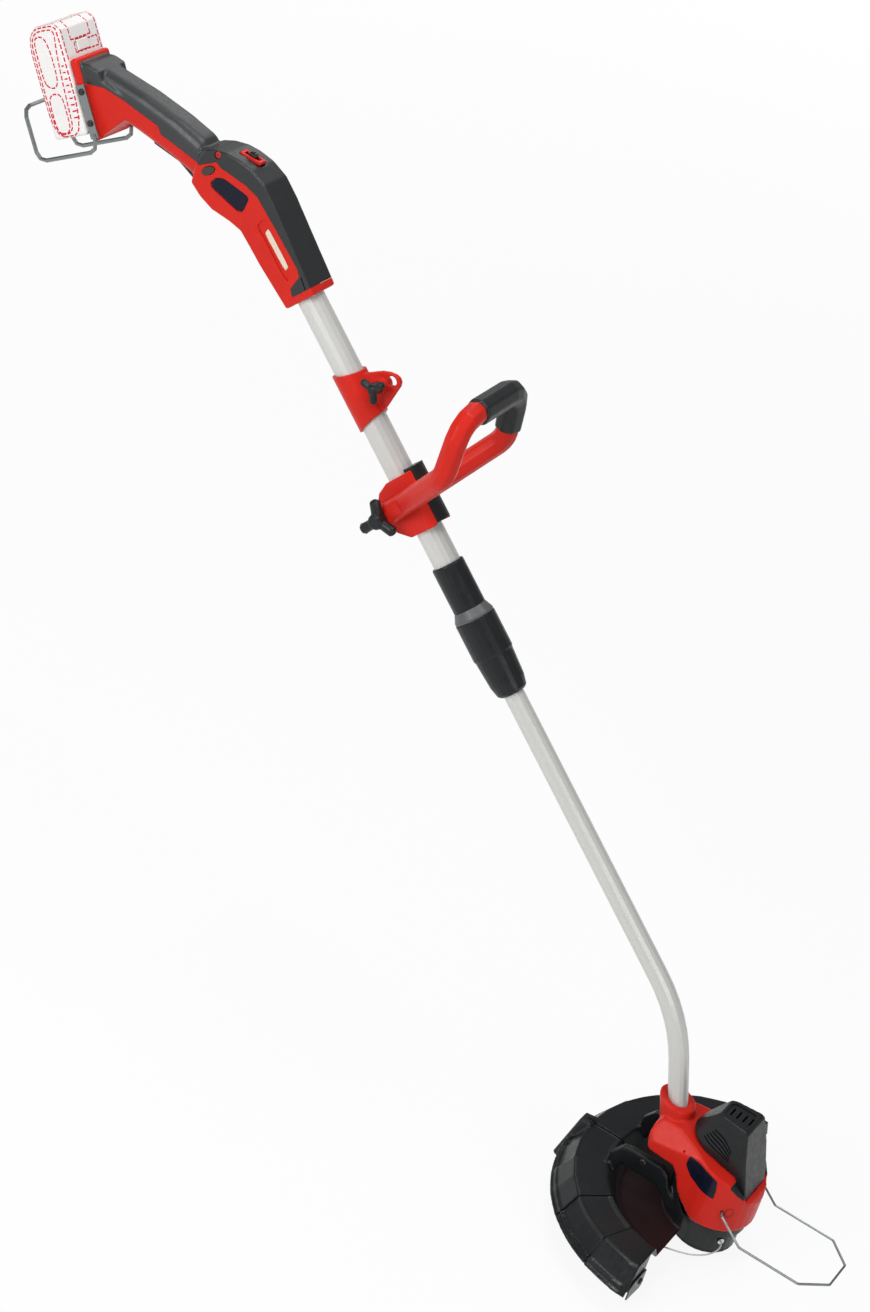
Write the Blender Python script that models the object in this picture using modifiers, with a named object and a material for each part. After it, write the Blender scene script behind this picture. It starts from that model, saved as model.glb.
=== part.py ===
"""Cordless string trimmer: battery grip, telescopic shaft with auxiliary handle, and a motor head
with line spool, guard and folding plant guard.

World frame: metres, +Z up, +X forward (away from the user), +Y to the user's left. The origin lies
on the ground under the spool's axis, and the spool is level, as the trimmer is held in use.
Outlines are side views (x, z) in the frame of the empty that carries the piece.
"""
import math

import bpy
import bmesh
from mathutils import Matrix, Vector

MM = 0.001
GAP = 0.3 * MM               # clearance between pieces that touch
RUN = 0.5 * MM               # clearance round pieces that slide or turn
WELD = 0.005 * MM            # vertices closer than this are one

# Shaft
NECK_LEAN = 17.0             # degrees from vertical, where the tube enters the head
SHAFT_LEAN = 48.0            # degrees from vertical, of the long straight part
NECK_MOUTH_X = -82.5 * MM
NECK_MOUTH_Z = 163.0 * MM
NECK_RUN = 55.0 * MM         # straight tube between the neck and the bend
NECK_DEPTH = 60.0 * MM       # tube held inside the neck
BEND_RADIUS = 200.0 * MM
SHAFT_RUN = 853.0 * MM       # from the bend to the handle's collar
UPPER_TUBE = 31.0 * MM       # across flats
UPPER_WALL = 1.3 * MM
UPPER_CORNER = 8.0 * MM
UPPER_TUBE_TOP = -88.0 * MM  # all stations run down the shaft from the collar
UPPER_TUBE_END = 469.0 * MM
LOWER_TUBE = 23.3 * MM
LOWER_WALL = 1.2 * MM
LOWER_CORNER = 6.0 * MM
LOWER_TUBE_TOP = 291.0 * MM

# Handle
COLLAR_RADIUS = 21.4 * MM
COLLAR_BAND = 8.5 * MM
GRIP_WIDTH = 40.0 * MM
BODY_WIDTH = 44.0 * MM
DOCK_WIDTH = 52.0 * MM
SHELL_WALL = 2.8 * MM

# Battery and dock, in the dock's frame: x into the handle, z up along the battery's slide
DOCK_X = -310.0 * MM         # dock frame's origin seen from the collar
DOCK_Z = 100.0 * MM
DOCK_LEAN = 32.6             # degrees
FLANGE_FACE = -6.7 * MM
FLANGE_DEPTH = 9.7 * MM
FLANGE_TOP = 52.0 * MM
FLANGE_BOTTOM = -40.0 * MM
FLANGE_WIDTH = 62.0 * MM
BATTERY_DEPTH = 47.0 * MM
BATTERY_TOP = 94.0 * MM
BATTERY_BOTTOM = -31.0 * MM
BATTERY_WIDTH = 70.0 * MM
TONGUE_DEPTH = 6.0 * MM
TONGUE_TOP = 38.0 * MM
TONGUE_BOTTOM = -28.0 * MM
TONGUE_WIDTH = 38.0 * MM
STAND_WIRE = 5.0 * MM
STAND_REACH = -86.0 * MM
STAND_DROP = -51.0 * MM
STAND_TOP = 11.0 * MM

# Fittings on the shaft
STRAP_STATION = 120.0 * MM
STRAP_RADIUS = 19.2 * MM
STRAP_EAR = 5.0 * MM         # thickness of the ear
STRAP_EYELET = 6.0 * MM      # radius of the hole for the shoulder strap
STRAP_BOSS = 18.0 * MM       # across the two bosses that the screw draws together
STRAP_SCREW_OFFSET = 33.0 * MM
AUX_STATION = 250.0 * MM
AUX_BOLT_OFFSET = -22.0 * MM
AUX_BOLT_RADIUS = 4.0 * MM
AUX_CLAMP_WIDTH = 42.0 * MM
AUX_CLAMP_FRONT = 27.0 * MM  # the clamp's round front, from the tube's axis
AUX_JAW_WIDTH = 24.0 * MM
AUX_NEAR_X = 32.0 * MM       # the loop's arms spread from here, seen from the bolt
AUX_ELBOW_X = 122.0 * MM     # and bend toward the handle here
AUX_ELBOW_Z = 16.0 * MM
AUX_BAR_X = 173.0 * MM
AUX_BAR_Z = 61.0 * MM
AUX_LEG_RADIUS = 13.0 * MM
AUX_LEG_OFFSET = 29.0 * MM
AUX_BOSS_OFFSET = 40.0 * MM  # outer face of the arms' ends
AUX_ELBOW_OFFSET = 66.0 * MM
AUX_LOOP_OFFSET = 58.0 * MM
AUX_CORNER = 26.0 * MM
AUX_BAR_RADIUS = 9.0 * MM
AUX_GRIP_RADIUS = 15.0 * MM
AUX_GRIP_START = -28.0 * MM  # y where the grip starts on the bar
AUX_GRIP_END = 134.0 * MM    # distance in front of the bolt where it ends on the far leg
SLEEVE_STATION = 329.0 * MM
SLEEVE_LENGTH = 55.0 * MM
SLEEVE_RADIUS = 19.1 * MM
RING_LENGTH = 13.0 * MM
NUT_LENGTH = 94.0 * MM
NUT_RADIUS = 24.0 * MM

# Head
SPOOL_RIM_Z = 16.0 * MM
SPOOL_RADIUS = 39.0 * MM
SPOOL_SHOULDER = 44.0 * MM
SPOOL_HEIGHT = 42.0 * MM
SPOOL_WALL = 2.5 * MM
KNOB_BOTTOM = 0.0
KNOB_RADIUS = 24.0 * MM
KNOB_TRAVEL = 4.5 * MM
HOUSING_RADIUS = 49.5 * MM
HOUSING_HALF_WIDTH = 45.0 * MM
HOUSING_BOTTOM = 61.0 * MM
HOUSING_WALL = 3.0 * MM
NECK_RADIUS = 20.5 * MM
COVER_TOP = 192.0 * MM
COVER_WALL = 2.5 * MM
MOTOR_RADIUS = 21.0 * MM
MOTOR_BOTTOM = 78.0 * MM
MOTOR_HEIGHT = 54.0 * MM
SHAFT_RADIUS = 3.0 * MM
BEARING_RADIUS = 9.0 * MM
BEARING_HEIGHT = 5.5 * MM

# Guard
GUARD_FRONT = -12.0 * MM
GUARD_COLLAR = 54.0 * MM
GUARD_FLOOR_Z = 43.5 * MM
GUARD_FLOOR_EDGE = 112.0 * MM
GUARD_INNER_RIM = 128.0 * MM
GUARD_RIDGE = 167.0 * MM
GUARD_SKIRT = 187.0 * MM
GUARD_TOP_Z = 66.0 * MM
GUARD_SKIRT_Z = 33.0 * MM
GUARD_SHEET = 2.4 * MM
GUARD_SECTORS = 8
GUARD_STEP = 2.0 * MM
WIRE_GUARD = 3.0 * MM
WIRE_GUARD_PIVOT_X = 23.5 * MM
WIRE_GUARD_PIVOT_Z = 91.0 * MM
WIRE_GUARD_REACH = 164.0 * MM
WIRE_GUARD_LEVEL = 62.0 * MM
CUTTER_RADIUS = 150.0 * MM
LINE_DIAMETER = 2.0 * MM
LINE_LEVEL = 36.0 * MM
LINE_ANGLE = -39.8           # degrees round the spool, where the line leaves it
TRIGGER_SWING = 4.0          # degrees


# Scene

def clear_scene():
    for old in list(bpy.data.objects):
        bpy.data.objects.remove(old, do_unlink=True)


def new_collection(name):
    collection = bpy.data.collections.new(name)
    bpy.context.scene.collection.children.link(collection)
    return collection


clear_scene()
PARTS = new_collection("string_trimmer")
GUIDES = new_collection("cutters")


def material(name, colour, roughness, metallic=0.0):
    found = bpy.data.materials.get(name)
    if found:
        return found
    new = bpy.data.materials.new(name)
    new.use_nodes = True
    shader = new.node_tree.nodes["Principled BSDF"]
    shader.inputs["Base Color"].default_value = (*colour, 1.0)
    shader.inputs["Roughness"].default_value = roughness
    shader.inputs["Metallic"].default_value = metallic
    return new


def red_plastic(name):
    return material(name + "_red", (0.72, 0.03, 0.025), 0.38)


def black_plastic(name):
    return material(name + "_black", (0.022, 0.025, 0.028), 0.45)


def black_rubber(name):
    return material(name + "_rubber", (0.05, 0.055, 0.06), 0.6)


def steel(name):
    return material(name + "_steel", (0.62, 0.64, 0.65), 0.25, 1.0)


def frame(name, x, z, lean, parent=None):
    """Empty whose +Z leans back from vertical by lean degrees."""
    empty = bpy.data.objects.new(name, None)
    empty.location = (x, 0.0, z)
    empty.rotation_euler = (0.0, -math.radians(lean), 0.0)
    empty.parent = parent
    PARTS.objects.link(empty)
    return empty


# Shapes

def place(name, mesh, parent, guide=False):
    new = bpy.data.objects.new(name, mesh)
    new.parent = parent
    if guide:
        GUIDES.objects.link(new)
        new.hide_render = True
        new.display_type = 'WIRE'
    else:
        PARTS.objects.link(new)
    return new


def evaluated_mesh(item):
    """Mesh of an object as its modifiers leave it, welded and facing out, in its own frame."""
    bpy.context.view_layer.update()
    graph = bpy.context.evaluated_depsgraph_get()
    mesh = bpy.data.meshes.new_from_object(item.evaluated_get(graph))
    shape = bmesh.new()
    shape.from_mesh(mesh)
    bmesh.ops.remove_doubles(shape, verts=shape.verts, dist=WELD)
    bmesh.ops.dissolve_degenerate(shape, dist=WELD, edges=shape.edges)
    bmesh.ops.holes_fill(shape, edges=[e for e in shape.edges if e.is_boundary], sides=6)
    bmesh.ops.recalc_face_normals(shape, faces=shape.faces)
    shape.to_mesh(mesh)
    shape.free()
    return mesh


def as_mesh(item, guide=False):
    """Replace a curve or a modified object by the plain mesh it evaluates to."""
    mesh = evaluated_mesh(item)
    name = item.name
    parent = item.parent
    basis = item.matrix_basis.copy()
    bpy.data.objects.remove(item, do_unlink=True)
    mesh.transform(basis)
    mesh.name = name
    return place(name, mesh, parent, guide)


def outline_curve(name, outline, half, holes=()):
    curve = bpy.data.curves.new(name, 'CURVE')
    curve.dimensions = '2D'
    curve.fill_mode = 'BOTH'
    curve.extrude = half
    for ring in (outline, *holes):
        spline = curve.splines.new('POLY')
        spline.points.add(len(ring) - 1)
        for point, (x, y) in zip(spline.points, ring):
            point.co = (x, y, 0.0, 1.0)
        spline.use_cyclic_u = True
    return curve


def side_plate(name, outline, y_low, y_high, parent, guide=False, edge=0.0, holes=(), segments=2):
    """Side-view outline (x, z) with thickness from y_low to y_high."""
    curve = outline_curve(name, outline, (y_high - y_low) / 2, holes)
    item = place(name, curve, parent, guide)
    item.rotation_euler = (math.pi / 2, 0.0, 0.0)
    item.location = (0.0, (y_low + y_high) / 2, 0.0)
    item = as_mesh(item, guide)
    if edge:
        bevel(item, edge, segments)
        item = as_mesh(item, guide)
    return item


def plan_prism(name, outline, z_low, z_high, parent, guide=False, edge=0.0, holes=()):
    """Plan outline (x, y) raised from z_low to z_high."""
    curve = outline_curve(name, outline, (z_high - z_low) / 2, holes)
    item = place(name, curve, parent, guide)
    item.location = (0.0, 0.0, (z_low + z_high) / 2)
    item = as_mesh(item, guide)
    if edge:
        bevel(item, edge)
    return item


def box(name, low, high, parent, guide=False, edge=0.0):
    shape = bmesh.new()
    size = [high[i] - low[i] for i in range(3)]
    middle = [(high[i] + low[i]) / 2 for i in range(3)]
    bmesh.ops.create_cube(shape, size=1.0, matrix=Matrix.Translation(middle) @ Matrix.Diagonal((*size, 1.0)))
    mesh = bpy.data.meshes.new(name)
    shape.to_mesh(mesh)
    shape.free()
    item = place(name, mesh, parent, guide)
    if edge:
        bevel(item, edge)
    return item


def rod(name, radius, start, end, parent, guide=False, segments=16):
    """Cylinder between two points."""
    start = Vector(start)
    end = Vector(end)
    along = end - start
    turn = along.to_track_quat('Z', 'Y').to_matrix().to_4x4()
    shape = bmesh.new()
    bmesh.ops.create_cone(shape, cap_ends=True, segments=segments, radius1=radius, radius2=radius,
                          depth=along.length, matrix=Matrix.Translation((start + end) / 2) @ turn)
    mesh = bpy.data.meshes.new(name)
    shape.to_mesh(mesh)
    shape.free()
    item = place(name, mesh, parent, guide)
    smooth(item)
    return item


def turned(name, profile, parent, guide=False, steps=24, ring=False):
    """Profile (radius, z), down its outer side from the top, turned about the frame's Z axis."""
    mesh = bpy.data.meshes.new(name)
    count = len(profile)
    edges = [(i, i + 1) for i in range(count - 1)]
    if ring:
        edges.append((count - 1, 0))
    mesh.from_pydata([(r, 0.0, z) for r, z in profile], edges, [])
    item = place(name, mesh, parent, guide)
    screw = item.modifiers.new("turn", 'SCREW')
    screw.steps = steps
    screw.render_steps = steps
    screw.use_merge_vertices = True
    screw.merge_threshold = 0.001 * MM
    screw.use_smooth_shade = True
    item = as_mesh(item, guide)
    smooth(item)
    return item


def tube_ring(outer, inner, top, bottom):
    return [(outer, top), (outer, bottom), (inner, bottom), (inner, top)]


def wire(name, points, radius, parent, guide=False, closed=False, sides=2, radii=None):
    """Round wire through the points, with closed ends."""
    curve = bpy.data.curves.new(name, 'CURVE')
    curve.dimensions = '3D'
    curve.bevel_depth = radius
    curve.bevel_resolution = sides
    curve.use_fill_caps = True
    spline = curve.splines.new('POLY')
    spline.points.add(len(points) - 1)
    for i, (point, place_at) in enumerate(zip(spline.points, points)):
        point.co = (*place_at, 1.0)
        point.radius = radii[i] if radii else 1.0
    spline.use_cyclic_u = closed
    item = as_mesh(place(name, curve, parent, guide), guide)
    smooth(item)
    return item


def swept(name, points, section, parent, guide=False):
    """Closed section (x, y) carried along the points."""
    section_curve = outline_curve(name + "_section", section, 0.0)
    section_curve.fill_mode = 'NONE'
    guide_item = place(name + "_section", section_curve, parent, True)
    curve = bpy.data.curves.new(name, 'CURVE')
    curve.dimensions = '3D'
    curve.bevel_mode = 'OBJECT'
    curve.bevel_object = guide_item
    curve.use_fill_caps = True
    spline = curve.splines.new('POLY')
    spline.points.add(len(points) - 1)
    for point, place_at in zip(spline.points, points):
        point.co = (*place_at, 1.0)
    item = as_mesh(place(name, curve, parent, guide), guide)
    bpy.data.objects.remove(guide_item, do_unlink=True)
    smooth(item)
    return item


def loft(name, rings, parent, guide=False, closed=False):
    """Skin over rings of equally many points; the last ring meets the first where it is closed."""
    points = [point for ring in rings for point in ring]
    size = len(rings[0])
    count = len(rings)
    faces = []
    for i in range(count if closed else count - 1):
        here = i * size
        there = (i + 1) % count * size
        for j in range(size):
            k = (j + 1) % size
            faces.append((here + j, here + k, there + k, there + j))
    if not closed:
        faces.append(tuple(range(size)))
        faces.append(tuple((count - 1) * size + j for j in reversed(range(size))))
    mesh = bpy.data.meshes.new(name)
    mesh.from_pydata(points, [], faces)
    shape = bmesh.new()
    shape.from_mesh(mesh)
    bmesh.ops.recalc_face_normals(shape, faces=shape.faces)
    shape.to_mesh(mesh)
    shape.free()
    return place(name, mesh, parent, guide)


# Finishing

def smooth(item, angle=35.0):
    item.data.shade_smooth()
    item.data.set_sharp_from_angle(angle=math.radians(angle))


def bevel(item, width, segments=2):
    edge = item.modifiers.new("edge", 'BEVEL')
    edge.width = width
    edge.segments = segments
    edge.limit_method = 'ANGLE'
    edge.angle_limit = math.radians(50)


def combine(item, others, operation):
    for other in others:
        step = item.modifiers.new(operation.lower(), 'BOOLEAN')
        step.operation = operation
        step.object = other
        step.solver = 'EXACT'
    return item


def cut(item, *others):
    return combine(item, others, 'DIFFERENCE')


def join(item, *others):
    return combine(item, others, 'UNION')


def keep(item, *others):
    return combine(item, others, 'INTERSECT')


def paint(item, look):
    if item.modifiers:
        item = as_mesh(item)
        smooth(item)
    item.data.materials.clear()
    item.data.materials.append(look)
    return item


# Outlines

def inset(outline, distance):
    """Outline drawn in by a distance, on either direction of travel."""
    count = len(outline)
    area = sum(outline[i][0] * outline[(i + 1) % count][1] - outline[(i + 1) % count][0] * outline[i][1]
               for i in range(count))
    side = 1.0 if area > 0 else -1.0
    moved = []
    for i in range(count):
        before = Vector(outline[i]) - Vector(outline[i - 1])
        after = Vector(outline[(i + 1) % count]) - Vector(outline[i])
        normal_before = Vector((-before.y, before.x)).normalized() * side
        normal_after = Vector((-after.y, after.x)).normalized() * side
        middle = (normal_before + normal_after).normalized()
        reach = distance / max(0.4, middle.dot(normal_after))
        moved.append(tuple(Vector(outline[i]) + middle * reach))
    return moved


def arc(centre, radius, start, end, count):
    """Points on an arc, in degrees."""
    turns = [math.radians(start + (end - start) * i / count) for i in range(count + 1)]
    return [(centre[0] + radius * math.cos(t), centre[1] + radius * math.sin(t)) for t in turns]


def soft_octagon(across, corner):
    """Eight flats joined by small arcs."""
    reach = (across / 2 - corner) / math.cos(math.radians(22.5))
    points = []
    for k in range(8):
        turn = 22.5 + 45.0 * k
        centre = (reach * math.cos(math.radians(turn)), reach * math.sin(math.radians(turn)))
        points += arc(centre, corner, turn - 22.5, turn + 22.5, 1)
    return points


def rounded_path(points, radius, count=5):
    """Path through the points with its inner corners rounded."""
    points = [Vector(p) for p in points]
    path = [points[0]]
    for before, corner, after in zip(points, points[1:], points[2:]):
        to_before = (before - corner).normalized()
        to_after = (after - corner).normalized()
        half = to_before.angle(to_after) / 2
        setback = radius / math.tan(half)
        middle = corner + (to_before + to_after).normalized() * (radius / math.sin(half))
        first = corner + to_before * setback - middle
        last = corner + to_after * setback - middle
        sweep = first.angle(last)
        for i in range(count + 1):
            t = i / count
            share = (math.sin((1 - t) * sweep) * first + math.sin(t * sweep) * last) / math.sin(sweep)
            path.append(middle + share)
    path.append(points[-1])
    return path


def mm_points(*pairs):
    return [tuple(value * MM for value in pair) for pair in pairs]


# Frames along the shaft

def leaned(lean):
    return Vector((-math.sin(math.radians(lean)), math.cos(math.radians(lean))))


BEND_TURN = SHAFT_LEAN - NECK_LEAN
neck_up = leaned(NECK_LEAN)
shaft_up = leaned(SHAFT_LEAN)
bend_start = Vector((NECK_MOUTH_X, NECK_MOUTH_Z)) + neck_up * NECK_RUN
bend_centre = bend_start + BEND_RADIUS * Vector((-neck_up.y, neck_up.x))
bend_end = bend_centre - BEND_RADIUS * Vector((-shaft_up.y, shaft_up.x))
collar = bend_end + shaft_up * SHAFT_RUN

HEAD = frame("head_frame", 0.0, 0.0, 0.0)
NECK = frame("neck_frame", NECK_MOUTH_X, NECK_MOUTH_Z, NECK_LEAN)
SHAFT = frame("shaft_frame", collar.x, collar.y, SHAFT_LEAN)
HANDLE = frame("handle_frame", collar.x, collar.y, 0.0)
DOCK = frame("dock_frame", DOCK_X, DOCK_Z, DOCK_LEAN, HANDLE)


# Handle

GRIP_TOP = mm_points((-325, 143), (-300, 140.5), (-248, 135.5), (-199, 127), (-160, 117))
GRIP_BOTTOM = mm_points((-150, 62), (-172, 76), (-206, 84.5), (-253, 93), (-285, 97))
BODY_OUTLINE = mm_points((-162, 112), (-146, 118.5), (-130, 121.5), (-112, 121), (-95, 117.5),
                         (-75, 108), (-56, 90.5), (-25, 57.5), (14.3, 16),
                         (-14.3, -16), (-60, 18), (-76, 31.5), (-92, 44.5), (-108, 48.7),
                         (-134, 52), (-152, 60), (-166, 70))
DOCK_OUTLINE = mm_points((-341, 138), (-323, 143), (-307, 141), (-301, 132), (-262, 122), (-256, 101),
                         (-266, 99), (-290, 67), (-297, 69))
DOCK_PLAN = mm_points((-360, -30), (-312, -26), (-262, -19), (-250, -19), (-250, 19), (-262, 19), (-312, 26),
                      (-360, 30))
SEAM = mm_points((-320, 122), (-297, 126), (-275, 122), (-249, 117), (-222, 112.5),
                 (-216, 105), (-190, 100), (-160, 94), (-147, 102), (-140, 107), (-132, 103),
                 (-98, 98), (-81, 92), (-51, 68), (-13, 36), (-8, 28), (-15, 10), (-10.3, 1.2))
BAND_LINE = mm_points((17.7, 32.4))
RUBBER_SEAM = mm_points((-164, 60), (-161, 95), (-150, 126), (-150, 170))


def handle_form(name, drawn_in, guide=True):
    """Grip, switch body, dock and collar as one solid, drawn in by a wall for the hollow."""
    steps = 2 if drawn_in else 4
    grip = side_plate(name + "_grip", inset(GRIP_TOP + GRIP_BOTTOM, drawn_in),
                      -GRIP_WIDTH / 2 + drawn_in, GRIP_WIDTH / 2 - drawn_in, HANDLE, True,
                      13 * MM - drawn_in, segments=steps)
    body = side_plate(name + "_body", inset(BODY_OUTLINE, drawn_in),
                      -BODY_WIDTH / 2 + drawn_in, BODY_WIDTH / 2 - drawn_in, HANDLE, True,
                      9 * MM - drawn_in, segments=steps)
    dock = side_plate(name + "_dock", inset(DOCK_OUTLINE, drawn_in),
                      -DOCK_WIDTH / 2 + drawn_in, DOCK_WIDTH / 2 - drawn_in, HANDLE, True,
                      5 * MM - drawn_in / 2)
    taper = plan_prism(name + "_taper", inset(DOCK_PLAN, drawn_in), 0.0, 200 * MM, HANDLE, True)
    keep(dock, taper)
    dock = as_mesh(dock, True)
    join(grip, body, dock)
    if not drawn_in:
        ring = rod(name + "_collar", COLLAR_RADIUS, (0, 0, 0), (0, 0, 40 * MM), SHAFT, True, 28)
        flange = box(name + "_flange", (FLANGE_FACE, -FLANGE_WIDTH / 2, FLANGE_BOTTOM),
                     (FLANGE_FACE + FLANGE_DEPTH, FLANGE_WIDTH / 2, FLANGE_TOP), DOCK, True, 2.5 * MM)
        join(grip, ring, flange)
    return as_mesh(grip, guide)


def handle_piece(name, form, *regions):
    item = place(name, form.data.copy(), HANDLE)
    keep(item, *regions)
    return item


def build_handle():
    form = handle_form("handle_form", 0.0)
    hollow = handle_form("handle_hollow", SHELL_WALL)
    tube_bore = plan_prism("tube_bore", soft_octagon(UPPER_TUBE + 2 * GAP, UPPER_CORNER + GAP),
                           -2 * MM, -UPPER_TUBE_TOP + 2 * MM, SHAFT, True)
    collar_core = rod("collar_core", 30 * MM, (0, 0, -5 * MM), (0, 0, 32 * MM), SHAFT, True, 24)
    cut(hollow, collar_core)
    room = as_mesh(hollow, True)

    sky = mm_points((30, 90), (-60, 170), (-363.5, 190))
    upper = side_plate("upper_region", SEAM + BAND_LINE + sky, -60 * MM, 60 * MM, HANDLE, True)
    upper_cutter = side_plate("upper_cutter", inset(SEAM + BAND_LINE + sky, -GAP), -60 * MM, 60 * MM,
                              HANDLE, True)
    rear_side = mm_points((-360, 200), (-360, 40), (-164, 40))
    rear = side_plate("rear_region", RUBBER_SEAM + mm_points((-150, 200)) + rear_side,
                      -60 * MM, 60 * MM, HANDLE, True)
    rear_cutter = side_plate("rear_cutter", inset(RUBBER_SEAM + mm_points((-150, 200)) + rear_side, -GAP),
                             -60 * MM, 60 * MM, HANDLE, True)
    right = box("right_region", (-0.4, -0.06, -0.1), (0.1, -GAP / 2, 0.3), HANDLE, True)
    left = box("left_region", (-0.4, GAP / 2, -0.1), (0.1, 0.06, 0.3), HANDLE, True)

    pressed = swung(TRIGGER_OUTLINE, TRIGGER_SWING)
    swept_outline = TRIGGER_OUTLINE[:2] + pressed[2:5] + TRIGGER_OUTLINE[4:]
    trigger_slot = side_plate("trigger_slot", inset(swept_outline, -MM), -8.5 * MM, 8.5 * MM, HANDLE, True)
    lock_hole = rod("lock_hole", 6.4 * MM, (LOCK_X, -0.05, LOCK_Z), (LOCK_X, 0.05, LOCK_Z), HANDLE, True)
    lower = place("lower_form", form.data.copy(), HANDLE, True)
    cut(lower, upper_cutter, room, tube_bore, trigger_slot, lock_hole)
    lower = as_mesh(lower, True)
    for name, half in (("handle_shell_right", right), ("handle_shell_left", left)):
        shell = handle_piece(name, lower, half)
        paint(shell, red_plastic("shell"))
    rubber = handle_piece("grip_rubber", form, upper, rear)
    cut(rubber, room)
    paint(rubber, black_rubber("grip"))
    cover = handle_piece("body_cover", form, upper)
    slider_slot = box("slider_slot", (-14.4 * MM, -6.4 * MM, -20 * MM), (14.4 * MM, 6.4 * MM, 20 * MM),
                      SLIDER, True)
    cut(cover, rear_cutter, room, tube_bore, slider_slot)
    paint(cover, black_plastic("cover"))


TRIGGER_OUTLINE = mm_points((-232, 84), (-228, 95), (-160, 92), (-153, 78), (-156, 60), (-163, 56),
                            (-171, 66), (-196, 78))
TRIGGER_PIVOT = (-228.0 * MM, 90.0 * MM)
LOCK_X = -147.0 * MM
LOCK_Z = 93.0 * MM
SLIDER = frame("slider_frame_seat", -109.0 * MM, 121.0 * MM, -3.0, HANDLE)


def swung(outline, degrees):
    """Outline turned about the trigger's pivot, its front end up."""
    turn = math.radians(degrees)
    moved = []
    for x, z in outline:
        dx = x - TRIGGER_PIVOT[0]
        dz = z - TRIGGER_PIVOT[1]
        moved.append((TRIGGER_PIVOT[0] + dx * math.cos(turn) - dz * math.sin(turn),
                      TRIGGER_PIVOT[1] + dx * math.sin(turn) + dz * math.cos(turn)))
    return moved


def build_controls():
    trigger = side_plate("trigger", TRIGGER_OUTLINE, -7.5 * MM, 7.5 * MM, HANDLE, edge=2.5 * MM)
    paint(trigger, black_plastic("trigger"))
    spring = turned("trigger_spring", tube_ring(3.2 * MM, 2.2 * MM, 6 * MM, -5 * MM), TRIGGER_SPRING,
                    steps=16, ring=True)
    paint(spring, steel("spring"))

    half = BODY_WIDTH / 2 + 1.2 * MM
    button = rod("lock_button", 5.9 * MM, (LOCK_X, -half, LOCK_Z), (LOCK_X, half, LOCK_Z), HANDLE)
    bevel(button, 0.8 * MM)
    paint(button, black_plastic("button"))

    seat = box("slider_frame", (-14 * MM, -6 * MM, -2.5 * MM), (14 * MM, 6 * MM, 1.4 * MM), SLIDER, edge=0.6 * MM)
    window = box("slider_window", (-10 * MM, -3.6 * MM, -9 * MM), (10 * MM, 3.6 * MM, 9 * MM), SLIDER, True)
    cut(seat, window)
    paint(seat, red_plastic("slider_frame"))
    slider = box("speed_slider", (-5 * MM, -3.2 * MM, -3 * MM), (5 * MM, 3.2 * MM, 4.2 * MM), SLIDER, edge=0.8 * MM)
    paint(slider, black_plastic("slider"))

    seat_room = handle_form("seat_room", SHELL_WALL + GAP)
    switch = box("micro_switch", (-190 * MM, -6 * MM, 98 * MM), (-168 * MM, 6 * MM, 109 * MM), HANDLE)
    carrier = box("switch_carrier", (-202 * MM, -GRIP_WIDTH / 2, 106 * MM),
                  (-170 * MM, GRIP_WIDTH / 2, 108.5 * MM), HANDLE, True)
    keep(carrier, seat_room)
    join(switch, carrier)
    paint(switch, black_plastic("switch"))
    board = box("control_board", (-88 * MM, -BODY_WIDTH / 2, 60 * MM), (-84 * MM, BODY_WIDTH / 2, 100 * MM), HANDLE)
    keep(board, seat_room)
    chip = box("power_module", (-100 * MM, -12 * MM, 66 * MM), (-87 * MM, 12 * MM, 98 * MM), HANDLE, True)
    join(board, chip)
    paint(board, material("board_green", (0.03, 0.16, 0.07), 0.5))


TRIGGER_SPRING = frame("trigger_spring_seat", -196.0 * MM, 99.6 * MM, 0.0, HANDLE)


# Battery

def build_battery():
    front = FLANGE_FACE - GAP
    back = front - BATTERY_DEPTH
    outline = [(front, BATTERY_BOTTOM), (front, BATTERY_TOP - 8 * MM), (front - 8 * MM, BATTERY_TOP),
               (back + 14 * MM, BATTERY_TOP), (back + 4 * MM, BATTERY_TOP - 9 * MM),
               (back, BATTERY_TOP - 24 * MM), (back, BATTERY_BOTTOM)]
    pack = side_plate("battery_pack", outline, -BATTERY_WIDTH / 2, BATTERY_WIDTH / 2, DOCK, edge=3 * MM)
    tongue_top = (front - TONGUE_DEPTH, -TONGUE_WIDTH / 2, TONGUE_BOTTOM)
    pocket = box("battery_pocket", (front - TONGUE_DEPTH - RUN, -TONGUE_WIDTH / 2 - RUN, BATTERY_BOTTOM - 5 * MM),
                 (front + 5 * MM, TONGUE_WIDTH / 2 + RUN, TONGUE_TOP + RUN), DOCK, True)
    latch_room = box("latch_room", (front - 7 * MM, -10.4 * MM, FLANGE_TOP + 5.6 * MM),
                     (front + 5 * MM, 10.4 * MM, FLANGE_TOP + 18.4 * MM), DOCK, True)
    cut(pack, pocket, latch_room)
    paint(pack, material("battery_white", (0.85, 0.84, 0.83), 0.45))
    latch = box("battery_latch", (front - 4 * MM, -10 * MM, FLANGE_TOP + 6 * MM),
                (front + 1.5 * MM, 10 * MM, FLANGE_TOP + 18 * MM), DOCK, edge=1.0 * MM)
    paint(latch, red_plastic("latch"))
    tongue = box("dock_contacts", tongue_top, (front - GAP / 2, TONGUE_WIDTH / 2, TONGUE_TOP), DOCK, edge=0.6 * MM)
    for k in range(4):
        y = (-12 + 8 * k) * MM
        slot = box("contact_slot_%d" % k, (front - TONGUE_DEPTH - MM, y - MM, TONGUE_BOTTOM - MM),
                   (front - TONGUE_DEPTH + 4 * MM, y + MM, TONGUE_BOTTOM + 22 * MM), DOCK, True)
        cut(tongue, slot)
    paint(tongue, black_plastic("contacts"))


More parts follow.
